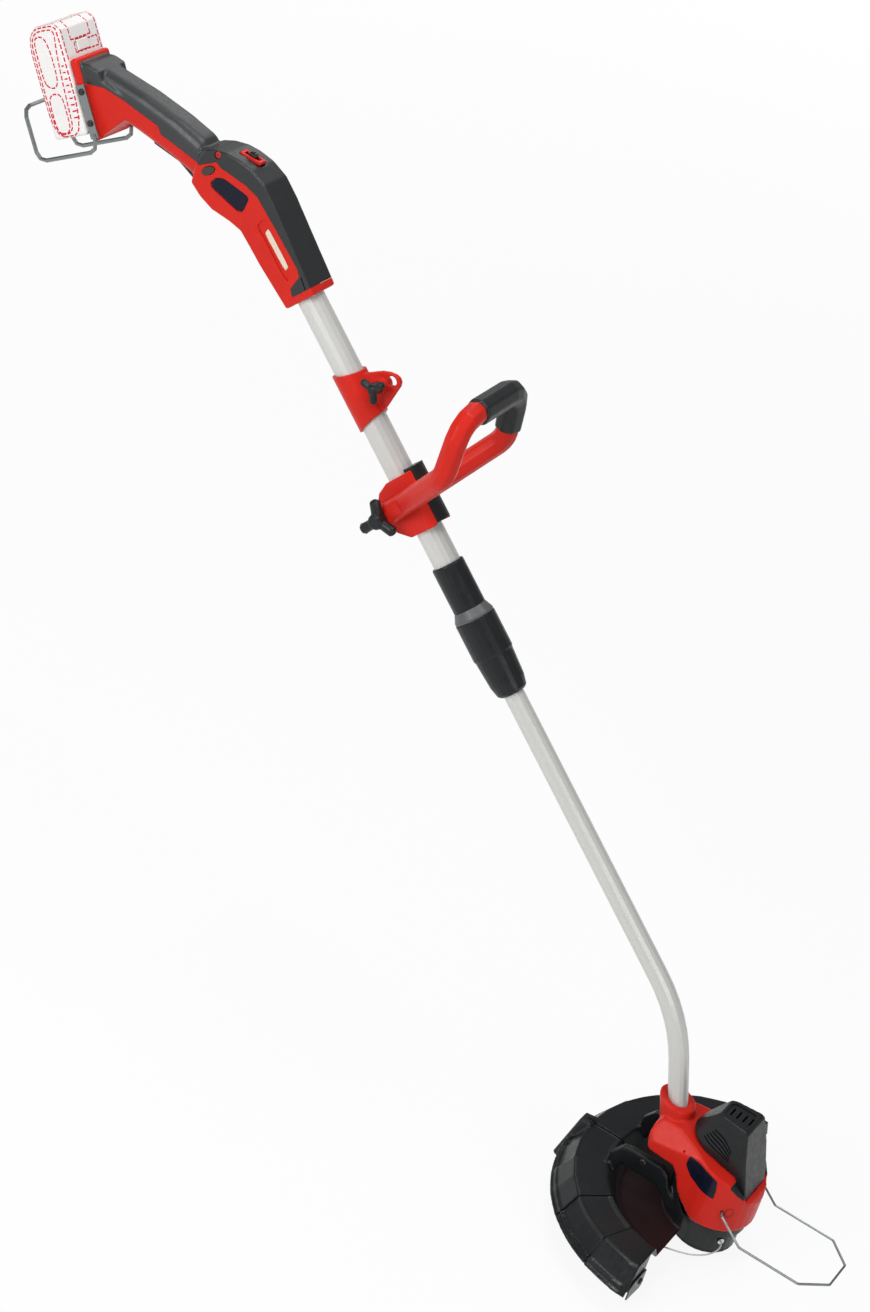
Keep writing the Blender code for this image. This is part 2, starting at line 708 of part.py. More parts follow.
def build_stand():
    """Bent wire that keeps the battery off the ground, flattened where it is screwed to the dock."""
    side = FLANGE_WIDTH / 2 + GAP + STAND_WIRE / 2
    flat_thick = 2.2 * MM
    near = [(0.5 * MM, -side, -32 * MM), (0.5 * MM, -side, STAND_DROP), (STAND_REACH, -side, STAND_DROP),
            (STAND_REACH, -side, STAND_TOP)]
    far = [(x, -y, z) for x, y, z in reversed(near)]
    stand = wire("battery_stand", rounded_path(near + far, 11 * MM, 2), STAND_WIRE / 2, DOCK, sides=1)
    for sign in (-1, 1):
        low, high = sorted((sign * (FLANGE_WIDTH / 2 + GAP), sign * (FLANGE_WIDTH / 2 + GAP + flat_thick)))
        join(stand, box("stand_flat", (-5 * MM, low, -37 * MM), (6 * MM, high, 24 * MM), DOCK, True, 0.5 * MM))
    for k, (sign, z) in enumerate(((-1, 16), (-1, -19.5), (1, 16), (1, -19.5))):
        face = sign * (FLANGE_WIDTH / 2 + GAP + flat_thick)
        hole = rod("stand_hole_%d" % k, 2.3 * MM, (0.5 * MM, face - sign * 5 * MM, z * MM),
                   (0.5 * MM, face + sign * 5 * MM, z * MM), DOCK, True, 16)
        cut(stand, hole)
        seat = frame("stand_screw_seat_%d" % (k + 1), 0.5 * MM, z * MM, 0.0, DOCK)
        seat.location.y = face + sign * GAP
        seat.rotation_euler = (-sign * math.pi / 2, 0.0, 0.0)
        head = [(0, 2 * MM), (2.6 * MM, 2 * MM), (3.8 * MM, 1 * MM), (3.8 * MM, 0), (1.9 * MM, 0),
                (1.9 * MM, -2.0 * MM), (0, -2.0 * MM)]
        screw = turned("stand_screw_%d" % (k + 1), head, seat, steps=12)
        paint(screw, black_plastic("screw"))
    paint(stand, steel("stand"))


# Shaft

def build_shaft():
    outer = soft_octagon(UPPER_TUBE, UPPER_CORNER)
    inner = soft_octagon(UPPER_TUBE - 2 * UPPER_WALL, UPPER_CORNER - UPPER_WALL)
    upper = plan_prism("upper_tube", outer, -UPPER_TUBE_END, -UPPER_TUBE_TOP, SHAFT, holes=[inner])
    smooth(upper, 15)
    paint(upper, material("tube_silver", (0.66, 0.67, 0.66), 0.35, 0.7))

    bend = [(x, 0.0, z) for x, z in arc((-BEND_RADIUS, NECK_RUN), BEND_RADIUS, 0, BEND_TURN, 6)]
    top_up = leaned(BEND_TURN)
    run = SHAFT_RUN - LOWER_TUBE_TOP
    top = (bend[-1][0] + top_up.x * run, 0.0, bend[-1][2] + top_up.y * run)
    path = [(0.0, 0.0, -NECK_DEPTH)] + bend + [top]
    lower = swept("lower_tube", path, soft_octagon(LOWER_TUBE, LOWER_CORNER), NECK)
    longer = [(0.0, 0.0, -NECK_DEPTH - 5 * MM)] + bend
    longer.append((top[0] + top_up.x * 5 * MM, 0.0, top[2] + top_up.y * 5 * MM))
    hollow = swept("lower_hollow", longer,
                   soft_octagon(LOWER_TUBE - 2 * LOWER_WALL, LOWER_CORNER - LOWER_WALL), NECK, True)
    cut(lower, hollow)
    paint(lower, material("tube_silver", (0.66, 0.67, 0.66), 0.35, 0.7))

    bush_outer = UPPER_TUBE / 2 - UPPER_WALL - GAP
    bush = turned("tube_bush", [(bush_outer, -LOWER_TUBE_TOP + 4 * MM), (bush_outer, -LOWER_TUBE_TOP - 20 * MM),
                                (LOWER_CLEAR, -LOWER_TUBE_TOP - 20 * MM), (LOWER_CLEAR, -LOWER_TUBE_TOP + GAP),
                                (8 * MM, -LOWER_TUBE_TOP + GAP), (8 * MM, -LOWER_TUBE_TOP + 4 * MM)],
                  SHAFT, ring=True)
    paint(bush, black_plastic("bush"))


LOWER_CLEAR = (LOWER_TUBE / 2 - LOWER_CORNER) / math.cos(math.radians(22.5)) + LOWER_CORNER + GAP


def upper_bore(name, top, bottom):
    return plan_prism(name, soft_octagon(UPPER_TUBE + 2 * GAP, UPPER_CORNER + GAP), -bottom, -top, SHAFT, True)


def build_coupling():
    start = SLEEVE_STATION
    ring_start = start + SLEEVE_LENGTH
    nut_start = ring_start + RING_LENGTH
    sleeve = turned("coupling_sleeve", [(0, -start), (SLEEVE_RADIUS - MM, -start), (SLEEVE_RADIUS, -start - 2 * MM),
                                        (SLEEVE_RADIUS, -ring_start + GAP), (0, -ring_start + GAP)], SHAFT)
    cut(sleeve, upper_bore("sleeve_bore", start - 5 * MM, ring_start + 5 * MM))
    paint(sleeve, black_plastic("coupling"))
    ring = turned("coupling_ring", [(0, -ring_start), (SLEEVE_RADIUS, -ring_start),
                                    (NUT_RADIUS - 0.5 * MM, -nut_start + 3 * MM),
                                    (NUT_RADIUS - 0.5 * MM, -nut_start + GAP), (0, -nut_start + GAP)], SHAFT)
    cut(ring, upper_bore("ring_bore", ring_start - 5 * MM, nut_start + 5 * MM))
    paint(ring, material("ring_grey", (0.13, 0.14, 0.15), 0.5))
    bore = UPPER_TUBE / 2 + 1.2 * MM
    seat = UPPER_TUBE_END + 2.5 * MM
    end = nut_start + NUT_LENGTH
    nut = turned("coupling_nut", [(NUT_RADIUS, -nut_start), (NUT_RADIUS, -nut_start - 44 * MM),
                                  (NUT_RADIUS - 1.2 * MM, -nut_start - 47 * MM),
                                  (NUT_RADIUS - 3.2 * MM, -end + 15 * MM), (NUT_RADIUS - 6 * MM, -end + 3 * MM),
                                  (NUT_RADIUS - 9 * MM, -end), (LOWER_CLEAR + 0.4 * MM, -end),
                                  (LOWER_CLEAR + 0.4 * MM, -seat), (bore, -seat), (bore, -nut_start)],
                 SHAFT, ring=True)
    paint(nut, black_plastic("nut"))
    collet = turned("collet", tube_ring(UPPER_TUBE / 2 - UPPER_WALL - GAP, LOWER_CLEAR,
                                        -UPPER_TUBE_END + 24 * MM, -UPPER_TUBE_END), SHAFT, ring=True)
    slit = box("collet_slit", (0, -1.2 * MM, -UPPER_TUBE_END - 5 * MM), (30 * MM, 1.2 * MM, -UPPER_TUBE_END + 30 * MM),
               SHAFT, True)
    cut(collet, slit)
    paint(collet, material("collet_grey", (0.2, 0.21, 0.22), 0.5))


def shaft_points(*pairs):
    """Side-view points (offset, station) measured in mm from the tube's axis and the collar."""
    return [(offset * MM, -station * MM) for station, offset in pairs]


def wing_knob(name, seat, core, hub, root, reach, thickness, first_turn, look):
    """Knob with three wings from root to reach, turning about its seat's Z axis."""
    item = turned(name, core, seat, steps=20)
    for k in range(3):
        turn = math.radians(first_turn + 120 * k)
        out = Vector((math.cos(turn), math.sin(turn), 0))
        rise = Vector((0, 0, hub))
        stations = [out * root + rise, out * (root + reach) / 2 + rise, out * reach + rise]
        wing = wire(name + "_wing", stations, thickness, seat, True, sides=1, radii=[1.0, 0.85, 1.15])
        join(item, wing)
    paint(item, look)
    return item


def build_strap_clamp():
    sleeve = rod("strap_clamp", STRAP_RADIUS, (0, 0, -165 * MM), (0, 0, -80 * MM), SHAFT, segments=28)
    slant = side_plate("strap_slant", shaft_points((87, -22), (97, 22), (145, 24), (158.7, -22)),
                       -25 * MM, 25 * MM, SHAFT, True)
    keep(sleeve, slant)
    ear = side_plate("strap_ear", shaft_points((99, 14), (107, 42), (112, 51), (117, 56.5), (122, 59),
                                               (127, 58), (131, 54), (145, 24), (148, 14)),
                     -STRAP_EAR / 2, STRAP_EAR / 2, SHAFT, True, MM)
    join(sleeve, ear)
    boss = rod("strap_boss", 8 * MM, (STRAP_SCREW_OFFSET, -STRAP_BOSS / 2, -STRAP_STATION),
               (STRAP_SCREW_OFFSET, STRAP_BOSS / 2, -STRAP_STATION), SHAFT, True, 20)
    join(sleeve, boss)
    slit = box("strap_slit", (10 * MM, -0.4 * MM, -170 * MM), (70 * MM, 0.4 * MM, -80 * MM), SHAFT, True)
    eyelet = rod("strap_eyelet", STRAP_EYELET, (48.4 * MM, -15 * MM, -121.4 * MM),
                 (48.4 * MM, 15 * MM, -121.4 * MM), SHAFT, True, 20)
    hole = rod("strap_hole", 3.4 * MM, (STRAP_SCREW_OFFSET, -15 * MM, -STRAP_STATION),
               (STRAP_SCREW_OFFSET, 15 * MM, -STRAP_STATION), SHAFT, True, 16)
    cut(sleeve, upper_bore("strap_bore", 70 * MM, 175 * MM), slit, eyelet, hole)
    paint(sleeve, red_plastic("strap"))
    seat = frame("strap_screw_seat", STRAP_SCREW_OFFSET, -STRAP_STATION, 0.0, SHAFT)
    seat.rotation_euler = (math.pi / 2, 0.0, 0.0)
    base = STRAP_BOSS / 2 + GAP
    core = [(0, base + 15 * MM), (4 * MM, base + 15 * MM), (6.5 * MM, base + 12 * MM), (6.5 * MM, base),
            (3 * MM, base), (3 * MM, -base - 5 * MM), (0, -base - 5 * MM)]
    wing_knob("strap_screw", seat, core, base + 10 * MM, 2 * MM, 14 * MM, 4.2 * MM, 120.0,
              black_plastic("strap_screw"))


def point_at(path, axis, value, start=0):
    """Path with a point added where one coordinate first passes a value, and that point's index."""
    for i in range(start, len(path) - 1):
        here = path[i][axis]
        there = path[i + 1][axis]
        if min(here, there) < value < max(here, there):
            point = path[i].lerp(path[i + 1], (value - here) / (there - here))
            return path[:i + 1] + [point] + path[i + 1:], i + 1


def build_aux_handle():
    half_jaw = AUX_JAW_WIDTH / 2
    jaw_front = AUX_CLAMP_FRONT + MM
    front = rod("aux_clamp_front", jaw_front, (0, 0, -282 * MM), (0, 0, -214 * MM), SHAFT, segments=32)
    jaw_room = box("aux_jaw_room", (AUX_CLAMP_FRONT / 2, -half_jaw, -290 * MM), (60 * MM, half_jaw, -210 * MM),
                   SHAFT, True)
    keep(front, jaw_room)
    cut(front, upper_bore("front_bore", 200 * MM, 300 * MM))
    paint(front, black_plastic("aux_clamp"))
    rear = side_plate("aux_clamp_rear", shaft_points((217, 22), (219, 30), (282, 30), (284, 22), (285, -12),
                                                     (274, -27), (262, -35), (238, -35), (226, -25), (219, -10)),
                      -AUX_CLAMP_WIDTH / 2, AUX_CLAMP_WIDTH / 2, SHAFT, edge=1.5 * MM)
    half_width = AUX_CLAMP_WIDTH / 2 + MM
    turn = math.degrees(math.acos(half_width / AUX_CLAMP_FRONT))
    section = [(-60 * MM, half_width), (-60 * MM, -half_width)]
    section += arc((0, 0), AUX_CLAMP_FRONT, turn - 90, 90 - turn, 12)
    rounding = plan_prism("aux_rounding", section, -300 * MM, -200 * MM, SHAFT, True)
    bolt_hole = rod("aux_bolt_hole", AUX_BOLT_RADIUS + GAP, (AUX_BOLT_OFFSET, -60 * MM, -AUX_STATION),
                    (AUX_BOLT_OFFSET, 60 * MM, -AUX_STATION), SHAFT, True)
    slot = box("aux_slot", (0, -half_jaw - GAP, -300 * MM), (60 * MM, half_jaw + GAP, -200 * MM), SHAFT, True)
    keep(rear, rounding)
    cut(rear, upper_bore("rear_bore", 200 * MM, 300 * MM), slot, bolt_hole)
    paint(rear, red_plastic("aux_clamp"))

    pivot = frame("aux_pivot", AUX_BOLT_OFFSET, -AUX_STATION, 0.0, SHAFT)
    right = [(0, -AUX_LEG_OFFSET, 0), (AUX_NEAR_X, -AUX_LEG_OFFSET, AUX_NEAR_X * AUX_ELBOW_Z / AUX_ELBOW_X),
             (AUX_ELBOW_X, -AUX_ELBOW_OFFSET, AUX_ELBOW_Z), (AUX_BAR_X, -AUX_LOOP_OFFSET, AUX_BAR_Z)]
    left = [(x, -y, z) for x, y, z in reversed(right)]
    path = rounded_path(right + left, AUX_CORNER, 3)
    path, first = point_at(path, 1, AUX_GRIP_START)
    path, last = point_at(path, 0, AUX_GRIP_END, first + 1)
    loop = wire("aux_frame", path, AUX_LEG_RADIUS, pivot)
    inner_face = AUX_CLAMP_WIDTH / 2 + RUN
    outer_face = AUX_BOSS_OFFSET
    for sign in (-1, 1):
        boss = rod("aux_boss", 14 * MM, (0, sign * inner_face, 0), (0, sign * outer_face, 0), pivot, True)
        low, high = sorted((0, sign * inner_face))
        inner_trim = box("aux_inner_trim", (-25 * MM, low, -25 * MM), (80 * MM, high, 40 * MM), pivot, True)
        low, high = sorted((sign * outer_face, sign * 60 * MM))
        outer_trim = box("aux_outer_trim", (-25 * MM, low, -25 * MM), (AUX_NEAR_X, high, 40 * MM), pivot, True)
        join(loop, boss)
        cut(loop, inner_trim, outer_trim)
    loop_hole = rod("aux_loop_hole", AUX_BOLT_RADIUS + RUN, (0, -60 * MM, 0), (0, 60 * MM, 0), pivot, True)
    cut(loop, loop_hole)

    inner = path[first:last + 1]
    first_step = (path[first] - path[first + 1]).normalized()
    last_step = (path[last] - path[last - 1]).normalized()
    grip = wire("aux_grip", inner, AUX_GRIP_RADIUS, pivot)
    longer = [path[first] + first_step * 4 * MM] + inner + [path[last] + last_step * 4 * MM]
    cut(grip, wire("aux_grip_core", longer, AUX_BAR_RADIUS + GAP, pivot, True, sides=1))
    paint(grip, black_rubber("aux_grip"))
    ends = [path[first] + first_step * GAP] + inner + [path[last] + last_step * GAP]
    cut(loop, wire("aux_grip_room", ends, AUX_GRIP_RADIUS + GAP, pivot, True))
    join(loop, wire("aux_core", longer, AUX_BAR_RADIUS, pivot, True, sides=1))
    paint(loop, red_plastic("aux_frame"))

    seat = frame("aux_knob_seat", 0.0, 0.0, 0.0, pivot)
    seat.rotation_euler = (math.pi / 2, 0.0, 0.0)
    outer = outer_face + GAP
    bolt = turned("aux_bolt", [(0, outer + 9 * MM), (AUX_BOLT_RADIUS, outer + 9 * MM), (AUX_BOLT_RADIUS, -outer),
                               (7 * MM, -outer), (7 * MM, -outer - 5 * MM), (0, -outer - 5 * MM)], seat, steps=24)
    paint(bolt, steel("bolt"))
    bore = AUX_BOLT_RADIUS + GAP
    core = [(0, outer + 16 * MM), (7 * MM, outer + 16 * MM), (9 * MM, outer + 13 * MM),
            (9 * MM, outer + 4 * MM), (7 * MM, outer), (bore, outer), (bore, outer + 10 * MM),
            (0, outer + 10 * MM)]
    wing_knob("aux_knob", seat, core, outer + 8 * MM, 6 * MM, 22 * MM, 6 * MM, 65.0, black_plastic("aux_knob"))


# Head

def plan_ring(rear_x, rear_half, front_x, front_half, z, drawn_in, count=12):
    """Plan of the motor cover at one height: a round back and a flat front, as count * 2 + 4 points."""
    rear_half -= drawn_in
    front_half -= drawn_in
    rear_x += drawn_in
    front_x -= drawn_in
    centre_x = rear_x + rear_half
    ring = [(centre_x + rear_half * math.cos(math.radians(90 + 180 * i / (2 * count))),
             rear_half * math.sin(math.radians(90 + 180 * i / (2 * count))), z) for i in range(2 * count + 1)]
    corner = 5 * MM
    ring += [(front_x - corner, -front_half, z), (front_x, -front_half + corner, z),
             (front_x, front_half - corner, z), (front_x - corner, front_half, z)]
    return ring


COVER_SIDE = mm_points((-53, 155.4), (-50, 161), (-27, 192), (10, 192), (14, 189), (39.5, 108), (38.5, 106.3),
                       (24, 106.3), (19, 131.6))


def cover_form(name, drawn_in):
    rings = [plan_ring(-52.5 * MM, 31.5 * MM, 41 * MM, 27 * MM, 80 * MM, drawn_in),
             plan_ring(-52.5 * MM, 31.5 * MM, 41 * MM, 27 * MM, 155 * MM, drawn_in),
             plan_ring(-33 * MM, 18 * MM, 22 * MM, 22 * MM, COVER_TOP + 2 * MM, drawn_in)]
    form = loft(name, rings, HEAD, True)
    side = side_plate(name + "_side", inset(COVER_SIDE, drawn_in), -40 * MM, 40 * MM, HEAD, True)
    keep(form, side)
    return as_mesh(form, True)


def build_cover():
    form = cover_form("cover_form", 0.0)
    hollow = cover_form("cover_hollow", COVER_WALL)
    lower = box("cover_opening", (-38 * MM, -18 * MM, 90 * MM), (18 * MM, 18 * MM, 156 * MM), HEAD, True)
    cover = place("motor_cover", form.data.copy(), HEAD)
    motor_room = rod("motor_room", MOTOR_RADIUS + RUN, (0, 0, 70 * MM), (0, 0, MOTOR_BOTTOM + MOTOR_HEIGHT + 4 * MM),
                     HEAD, True, 24)
    cut(cover, hollow, lower, motor_room)
    for k in range(4):
        x = (-19 + 8 * k) * MM
        slot = box("top_slot_%d" % k, (x, -8 * MM, COVER_TOP - 9 * MM), (x + 2.5 * MM, 8 * MM, COVER_TOP + 5 * MM),
                   HEAD, True)
        cut(cover, slot)
    paint(cover, black_plastic("motor_cover"))


HOUSING_SIDE = mm_points((-90, 126), (-90, 142), (-84, 150), (-60, 152), (-30, 146), (20, 131), (32, 119),
                         (43, 109), (50, 97), (50, 61), (-6, 61), (-16, 66), (-28, 76), (-36, 88), (-42, 104),
                         (-50, 114), (-87, 115))
BIB_TOP = 106.0 * MM         # foot of the opening for the cover's front
BIB_WIDTH = 57.0 * MM
MOUTH_LEAN = 27.3            # degrees between the neck's mouth and a square cut


def housing_form(name):
    """Round motor housing with a wedge-shaped back and the socket for the tube."""
    body = side_plate(name, HOUSING_SIDE, -60 * MM, 60 * MM, HEAD, True)
    arc_points = arc((0, 0), HOUSING_RADIUS, -114, 114, 18)
    plan = arc_points + [(-60 * MM, HOUSING_HALF_WIDTH), (-82 * MM, HOUSING_HALF_WIDTH - MM),
                         (-90 * MM, 36 * MM), (-91 * MM, -36 * MM),
                         (-82 * MM, -HOUSING_HALF_WIDTH + MM), (-60 * MM, -HOUSING_HALF_WIDTH)]
    walls = plan_prism(name + "_plan", plan, 40 * MM, 220 * MM, HEAD, True)
    keep(body, walls)
    for side in (-1.0, 1.0):
        shoulder = box(name + "_shoulder", (-0.12, -0.12, 0.0), (0.12, 0.12, 0.06), HEAD, True)
        slope = Vector((-0.147, 0.739 * side, 0.658)).to_track_quat('Z', 'Y').to_matrix().to_4x4()
        shoulder.data.transform(Matrix.Translation((-78 * MM, 18 * MM * side, 159 * MM)) @ slope)
        cut(body, shoulder)
    body = as_mesh(body, True)
    bevel(body, 3.0 * MM)
    neck = rod(name + "_neck", NECK_RADIUS, (0, 0, -46 * MM), (0, 0, 20 * MM), NECK, True, 28)
    mouth = box(name + "_mouth", (-0.06, -0.06, 0.0), (0.06, 0.06, 0.06), NECK, True)
    mouth.data.transform(Matrix.Translation((0, 0, 3 * MM)) @ Matrix.Rotation(math.radians(MOUTH_LEAN), 4, 'Y'))
    cut(neck, mouth)
    neck = as_mesh(neck, True)
    bevel(neck, 1.5 * MM)
    join(body, neck)
    return as_mesh(body, True)


def build_housing():
    form = housing_form("housing_form")
    skirt = HOUSING_BOTTOM + 12 * MM
    mount = MOTOR_BOTTOM - GAP
    room = turned("housing_room", [(0, 175 * MM), (28 * MM, 175 * MM), (28 * MM, 112 * MM), (41 * MM, 104 * MM),
                                   (41 * MM, mount), (0, mount)], HEAD, True)
    spool_room = turned("spool_room", [(0, skirt), (HOUSING_RADIUS - HOUSING_WALL, skirt),
                                       (HOUSING_RADIUS - HOUSING_WALL, HOUSING_BOTTOM - 5 * MM),
                                       (0, HOUSING_BOTTOM - 5 * MM)], HEAD, True)
    shaft_hole = rod("shaft_hole", 6 * MM, (0, 0, HOUSING_BOTTOM), (0, 0, 100 * MM), HEAD, True)
    cover_room = cover_form("cover_room", -GAP)
    bib = box("bib_opening", (24 * MM, -BIB_WIDTH / 2, BIB_TOP), (60 * MM, BIB_WIDTH / 2, 180 * MM), HEAD, True,
              4 * MM)
    bore = rod("neck_bore", LOWER_CLEAR, (0, 0, -NECK_DEPTH - 1.5 * MM), (0, 0, 22 * MM), NECK, True)
    cable_way = rod("cable_way", 5 * MM, (-70 * MM, 0, 118 * MM), (-20 * MM, 0, 118 * MM), HEAD, True)
    pivot_hole = rod("wire_hole", WIRE_GUARD / 2 + RUN, (WIRE_GUARD_PIVOT_X, -60 * MM, WIRE_GUARD_PIVOT_Z),
                     (WIRE_GUARD_PIVOT_X, 60 * MM, WIRE_GUARD_PIVOT_Z), HEAD, True, 16)
    right = box("housing_right", (-0.2, -0.1, 0.0), (0.2, -GAP / 2, 0.3), HEAD, True)
    left = box("housing_left", (-0.2, GAP / 2, 0.0), (0.2, 0.1, 0.3), HEAD, True)
    for name, half in (("head_housing_right", right), ("head_housing_left", left)):
        shell = place(name, form.data.copy(), HEAD)
        keep(shell, half)
        cut(shell, room, spool_room, shaft_hole, cover_room, bib, bore, cable_way, pivot_hole)
        paint(shell, red_plastic("housing"))


def build_motor():
    top = MOTOR_BOTTOM + MOTOR_HEIGHT
    wall = 1.5 * MM
    hole = BEARING_RADIUS + GAP
    can = turned("motor_can", [(MOTOR_RADIUS, top), (MOTOR_RADIUS, MOTOR_BOTTOM), (hole, MOTOR_BOTTOM),
                               (hole, MOTOR_BOTTOM + 2 * wall), (MOTOR_RADIUS - wall, MOTOR_BOTTOM + 2 * wall),
                               (MOTOR_RADIUS - wall, top - 2 * wall), (hole, top - 2 * wall), (hole, top)],
                 HEAD, ring=True)
    paint(can, steel("motor"))
    inner = SHAFT_RADIUS + GAP
    for name, low in (("bearing_lower", MOTOR_BOTTOM), ("bearing_upper", top - BEARING_HEIGHT)):
        bearing = turned(name, tube_ring(BEARING_RADIUS, inner, low + BEARING_HEIGHT, low), HEAD, ring=True,
                         steps=24)
        paint(bearing, steel("bearing"))
    shaft_top = top + 14 * MM
    shaft_bottom = SPOOL_RIM_Z + SPOOL_HEIGHT - 10 * MM
    rotor = turned("rotor", [(0, shaft_top), (SHAFT_RADIUS, shaft_top), (SHAFT_RADIUS, top - 9 * MM),
                             (15 * MM, top - 9 * MM), (15 * MM, MOTOR_BOTTOM + 9 * MM),
                             (SHAFT_RADIUS, MOTOR_BOTTOM + 9 * MM), (SHAFT_RADIUS, shaft_bottom),
                             (0, shaft_bottom)], HEAD, steps=28)
    paint(rotor, steel("rotor"))
    fan_low = top + 3 * MM
    fan = turned("fan", [(SHAFT_RADIUS + 3 * MM, fan_low + 10 * MM), (SHAFT_RADIUS + 3 * MM, fan_low + 1.5 * MM),
                         (16 * MM, fan_low + 1.5 * MM), (16 * MM, fan_low), (inner, fan_low),
                         (inner, fan_low + 10 * MM)], HEAD, ring=True, steps=28)
    for k in range(7):
        turn = 2 * math.pi * k / 7
        blade = box("fan_blade", (4.5 * MM, -0.6 * MM, fan_low + 1.0 * MM), (15.5 * MM, 0.6 * MM, fan_low + 9 * MM),
                    HEAD, True)
        blade.data.transform(Matrix.Rotation(turn, 4, 'Z'))
        join(fan, blade)
    paint(fan, material("fan_grey", (0.3, 0.31, 0.32), 0.5))


def build_spool():
    rim = SPOOL_RIM_Z
    top = rim + SPOOL_HEIGHT
    wall = SPOOL_WALL
    hub = SHAFT_RADIUS + GAP
    cup = turned("spool_cup", [(hub + 5 * MM, top), (SPOOL_SHOULDER - 2 * MM, top), (SPOOL_SHOULDER, top - 2 * MM),
                               (SPOOL_SHOULDER, top - 12 * MM), (SPOOL_RADIUS, top - 17 * MM),
                               (SPOOL_RADIUS, rim + 3 * MM + GAP), (SPOOL_RADIUS - wall, rim + 3 * MM + GAP),
                               (SPOOL_RADIUS - wall, top - 16 * MM), (SPOOL_SHOULDER - wall, top - 11 * MM),
                               (SPOOL_SHOULDER - wall, top - wall), (hub + 5 * MM, top - wall),
                               (hub + 5 * MM, top - 8 * MM), (hub, top - 8 * MM), (hub, top)],
                 HEAD, ring=True, steps=28)
    turn = math.radians(LINE_ANGLE)
    out = Vector((math.cos(turn), math.sin(turn), 0.0))
    level = Vector((0, 0, LINE_LEVEL))
    exit_hole = rod("line_exit", 3.0 * MM + GAP, out * 30 * MM + level, out * 50 * MM + level, HEAD, True, 16)
    cut(cup, exit_hole)
    paint(cup, black_plastic("spool"))
    cap = turned("spool_cap", [(SPOOL_RADIUS, rim + 3 * MM), (SPOOL_RADIUS, rim), (KNOB_RADIUS + RUN, rim),
                               (KNOB_RADIUS + RUN, rim + 3 * MM)], HEAD, ring=True, steps=28)
    paint(cap, black_plastic("spool"))

    reel = turned("line_reel", tube_ring(33 * MM, 14 * MM, 48.5 * MM, 26 * MM), HEAD, ring=True)
    groove = turned("reel_groove", tube_ring(45 * MM, 18 * MM, 46 * MM, 28.5 * MM), HEAD, True, 24, True)
    cut(reel, groove)
    paint(reel, material("reel_grey", (0.25, 0.26, 0.27), 0.5))
    line = turned("wound_line", tube_ring(30 * MM, 18 * MM + GAP, 46 * MM - GAP, 28.5 * MM + GAP), HEAD, ring=True)
    paint(line, material("line_grey", (0.6, 0.6, 0.56), 0.4))
    low = KNOB_BOTTOM
    knob = turned("bump_knob", [(0, 30 * MM), (14 * MM - GAP, 30 * MM), (14 * MM - GAP, 24 * MM), (20 * MM, 24 * MM),
                                (KNOB_RADIUS, 22 * MM), (KNOB_RADIUS, low + 6 * MM), (KNOB_RADIUS - 5 * MM, low),
                                (0, low)], HEAD)
    spring_floor = 28 * MM
    spring_room = turned("spring_room", tube_ring(12 * MM, 4 * MM, 31 * MM, spring_floor), HEAD, True, 24, True)
    cut(knob, spring_room)
    paint(knob, black_plastic("knob"))
    spring = turned("bump_spring", tube_ring(11 * MM, 9.5 * MM, top - wall - GAP, spring_floor + GAP), HEAD, ring=True)
    paint(spring, steel("bump_spring"))

    seat = frame("eyelet_seat", 0.0, 0.0, 0.0, HEAD)
    seat.matrix_basis = Matrix.Translation(level) @ out.to_track_quat('Z', 'Y').to_matrix().to_4x4()
    bore = LINE_DIAMETER / 2 + GAP
    eyelet = turned("line_eyelet", [(4 * MM, 40.6 * MM), (4 * MM, 39.6 * MM), (3 * MM, 39.3 * MM), (3 * MM, 35.5 * MM),
                                    (bore, 35.5 * MM), (bore, 40.6 * MM)], seat, ring=True, steps=16)
    paint(eyelet, steel("eyelet"))
    route = mm_points((31.2, -26.0, 36), (34.5, -34, 35.5), (33, -46, 35), (25.5, -59, 34.5), (12.5, -70, 34),
                      (-6, -78, 33.5), (-28, -84, 32.5), (-50, -91, 31.5), (-70, -100, 30.5))
    cord = wire("cutting_line", smooth_route(route, 30), LINE_DIAMETER / 2, HEAD)
    paint(cord, material("line_grey", (0.6, 0.6, 0.56), 0.4))


def smooth_route(points, count):
    """Evenly spaced points on a smooth curve through the route."""
    points = [Vector(p) for p in points]
    dense = []
    for i in range(len(points) - 1):
        before = points[max(i - 1, 0)]
        after = points[min(i + 2, len(points) - 1)]
        here, there = points[i], points[i + 1]
        for k in range(20):
            t = k / 20
            dense.append(0.5 * ((2 * here) + (there - before) * t
                                + (2 * before - 5 * here + 4 * there - after) * t * t
                                + (3 * here - before - 3 * there + after) * t ** 3))
    dense.append(points[-1])
    lengths = [0.0]
    for first, second in zip(dense, dense[1:]):
        lengths.append(lengths[-1] + (second - first).length)
    spaced = []
    for k in range(count):
        want = lengths[-1] * k / (count - 1)
        j = max(i for i in range(len(dense)) if lengths[i] <= want + 1e-12)
        j = min(j, len(dense) - 2)
        share = (want - lengths[j]) / (lengths[j + 1] - lengths[j])
        spaced.append(dense[j].lerp(dense[j + 1], share))
    return spaced


# Guard

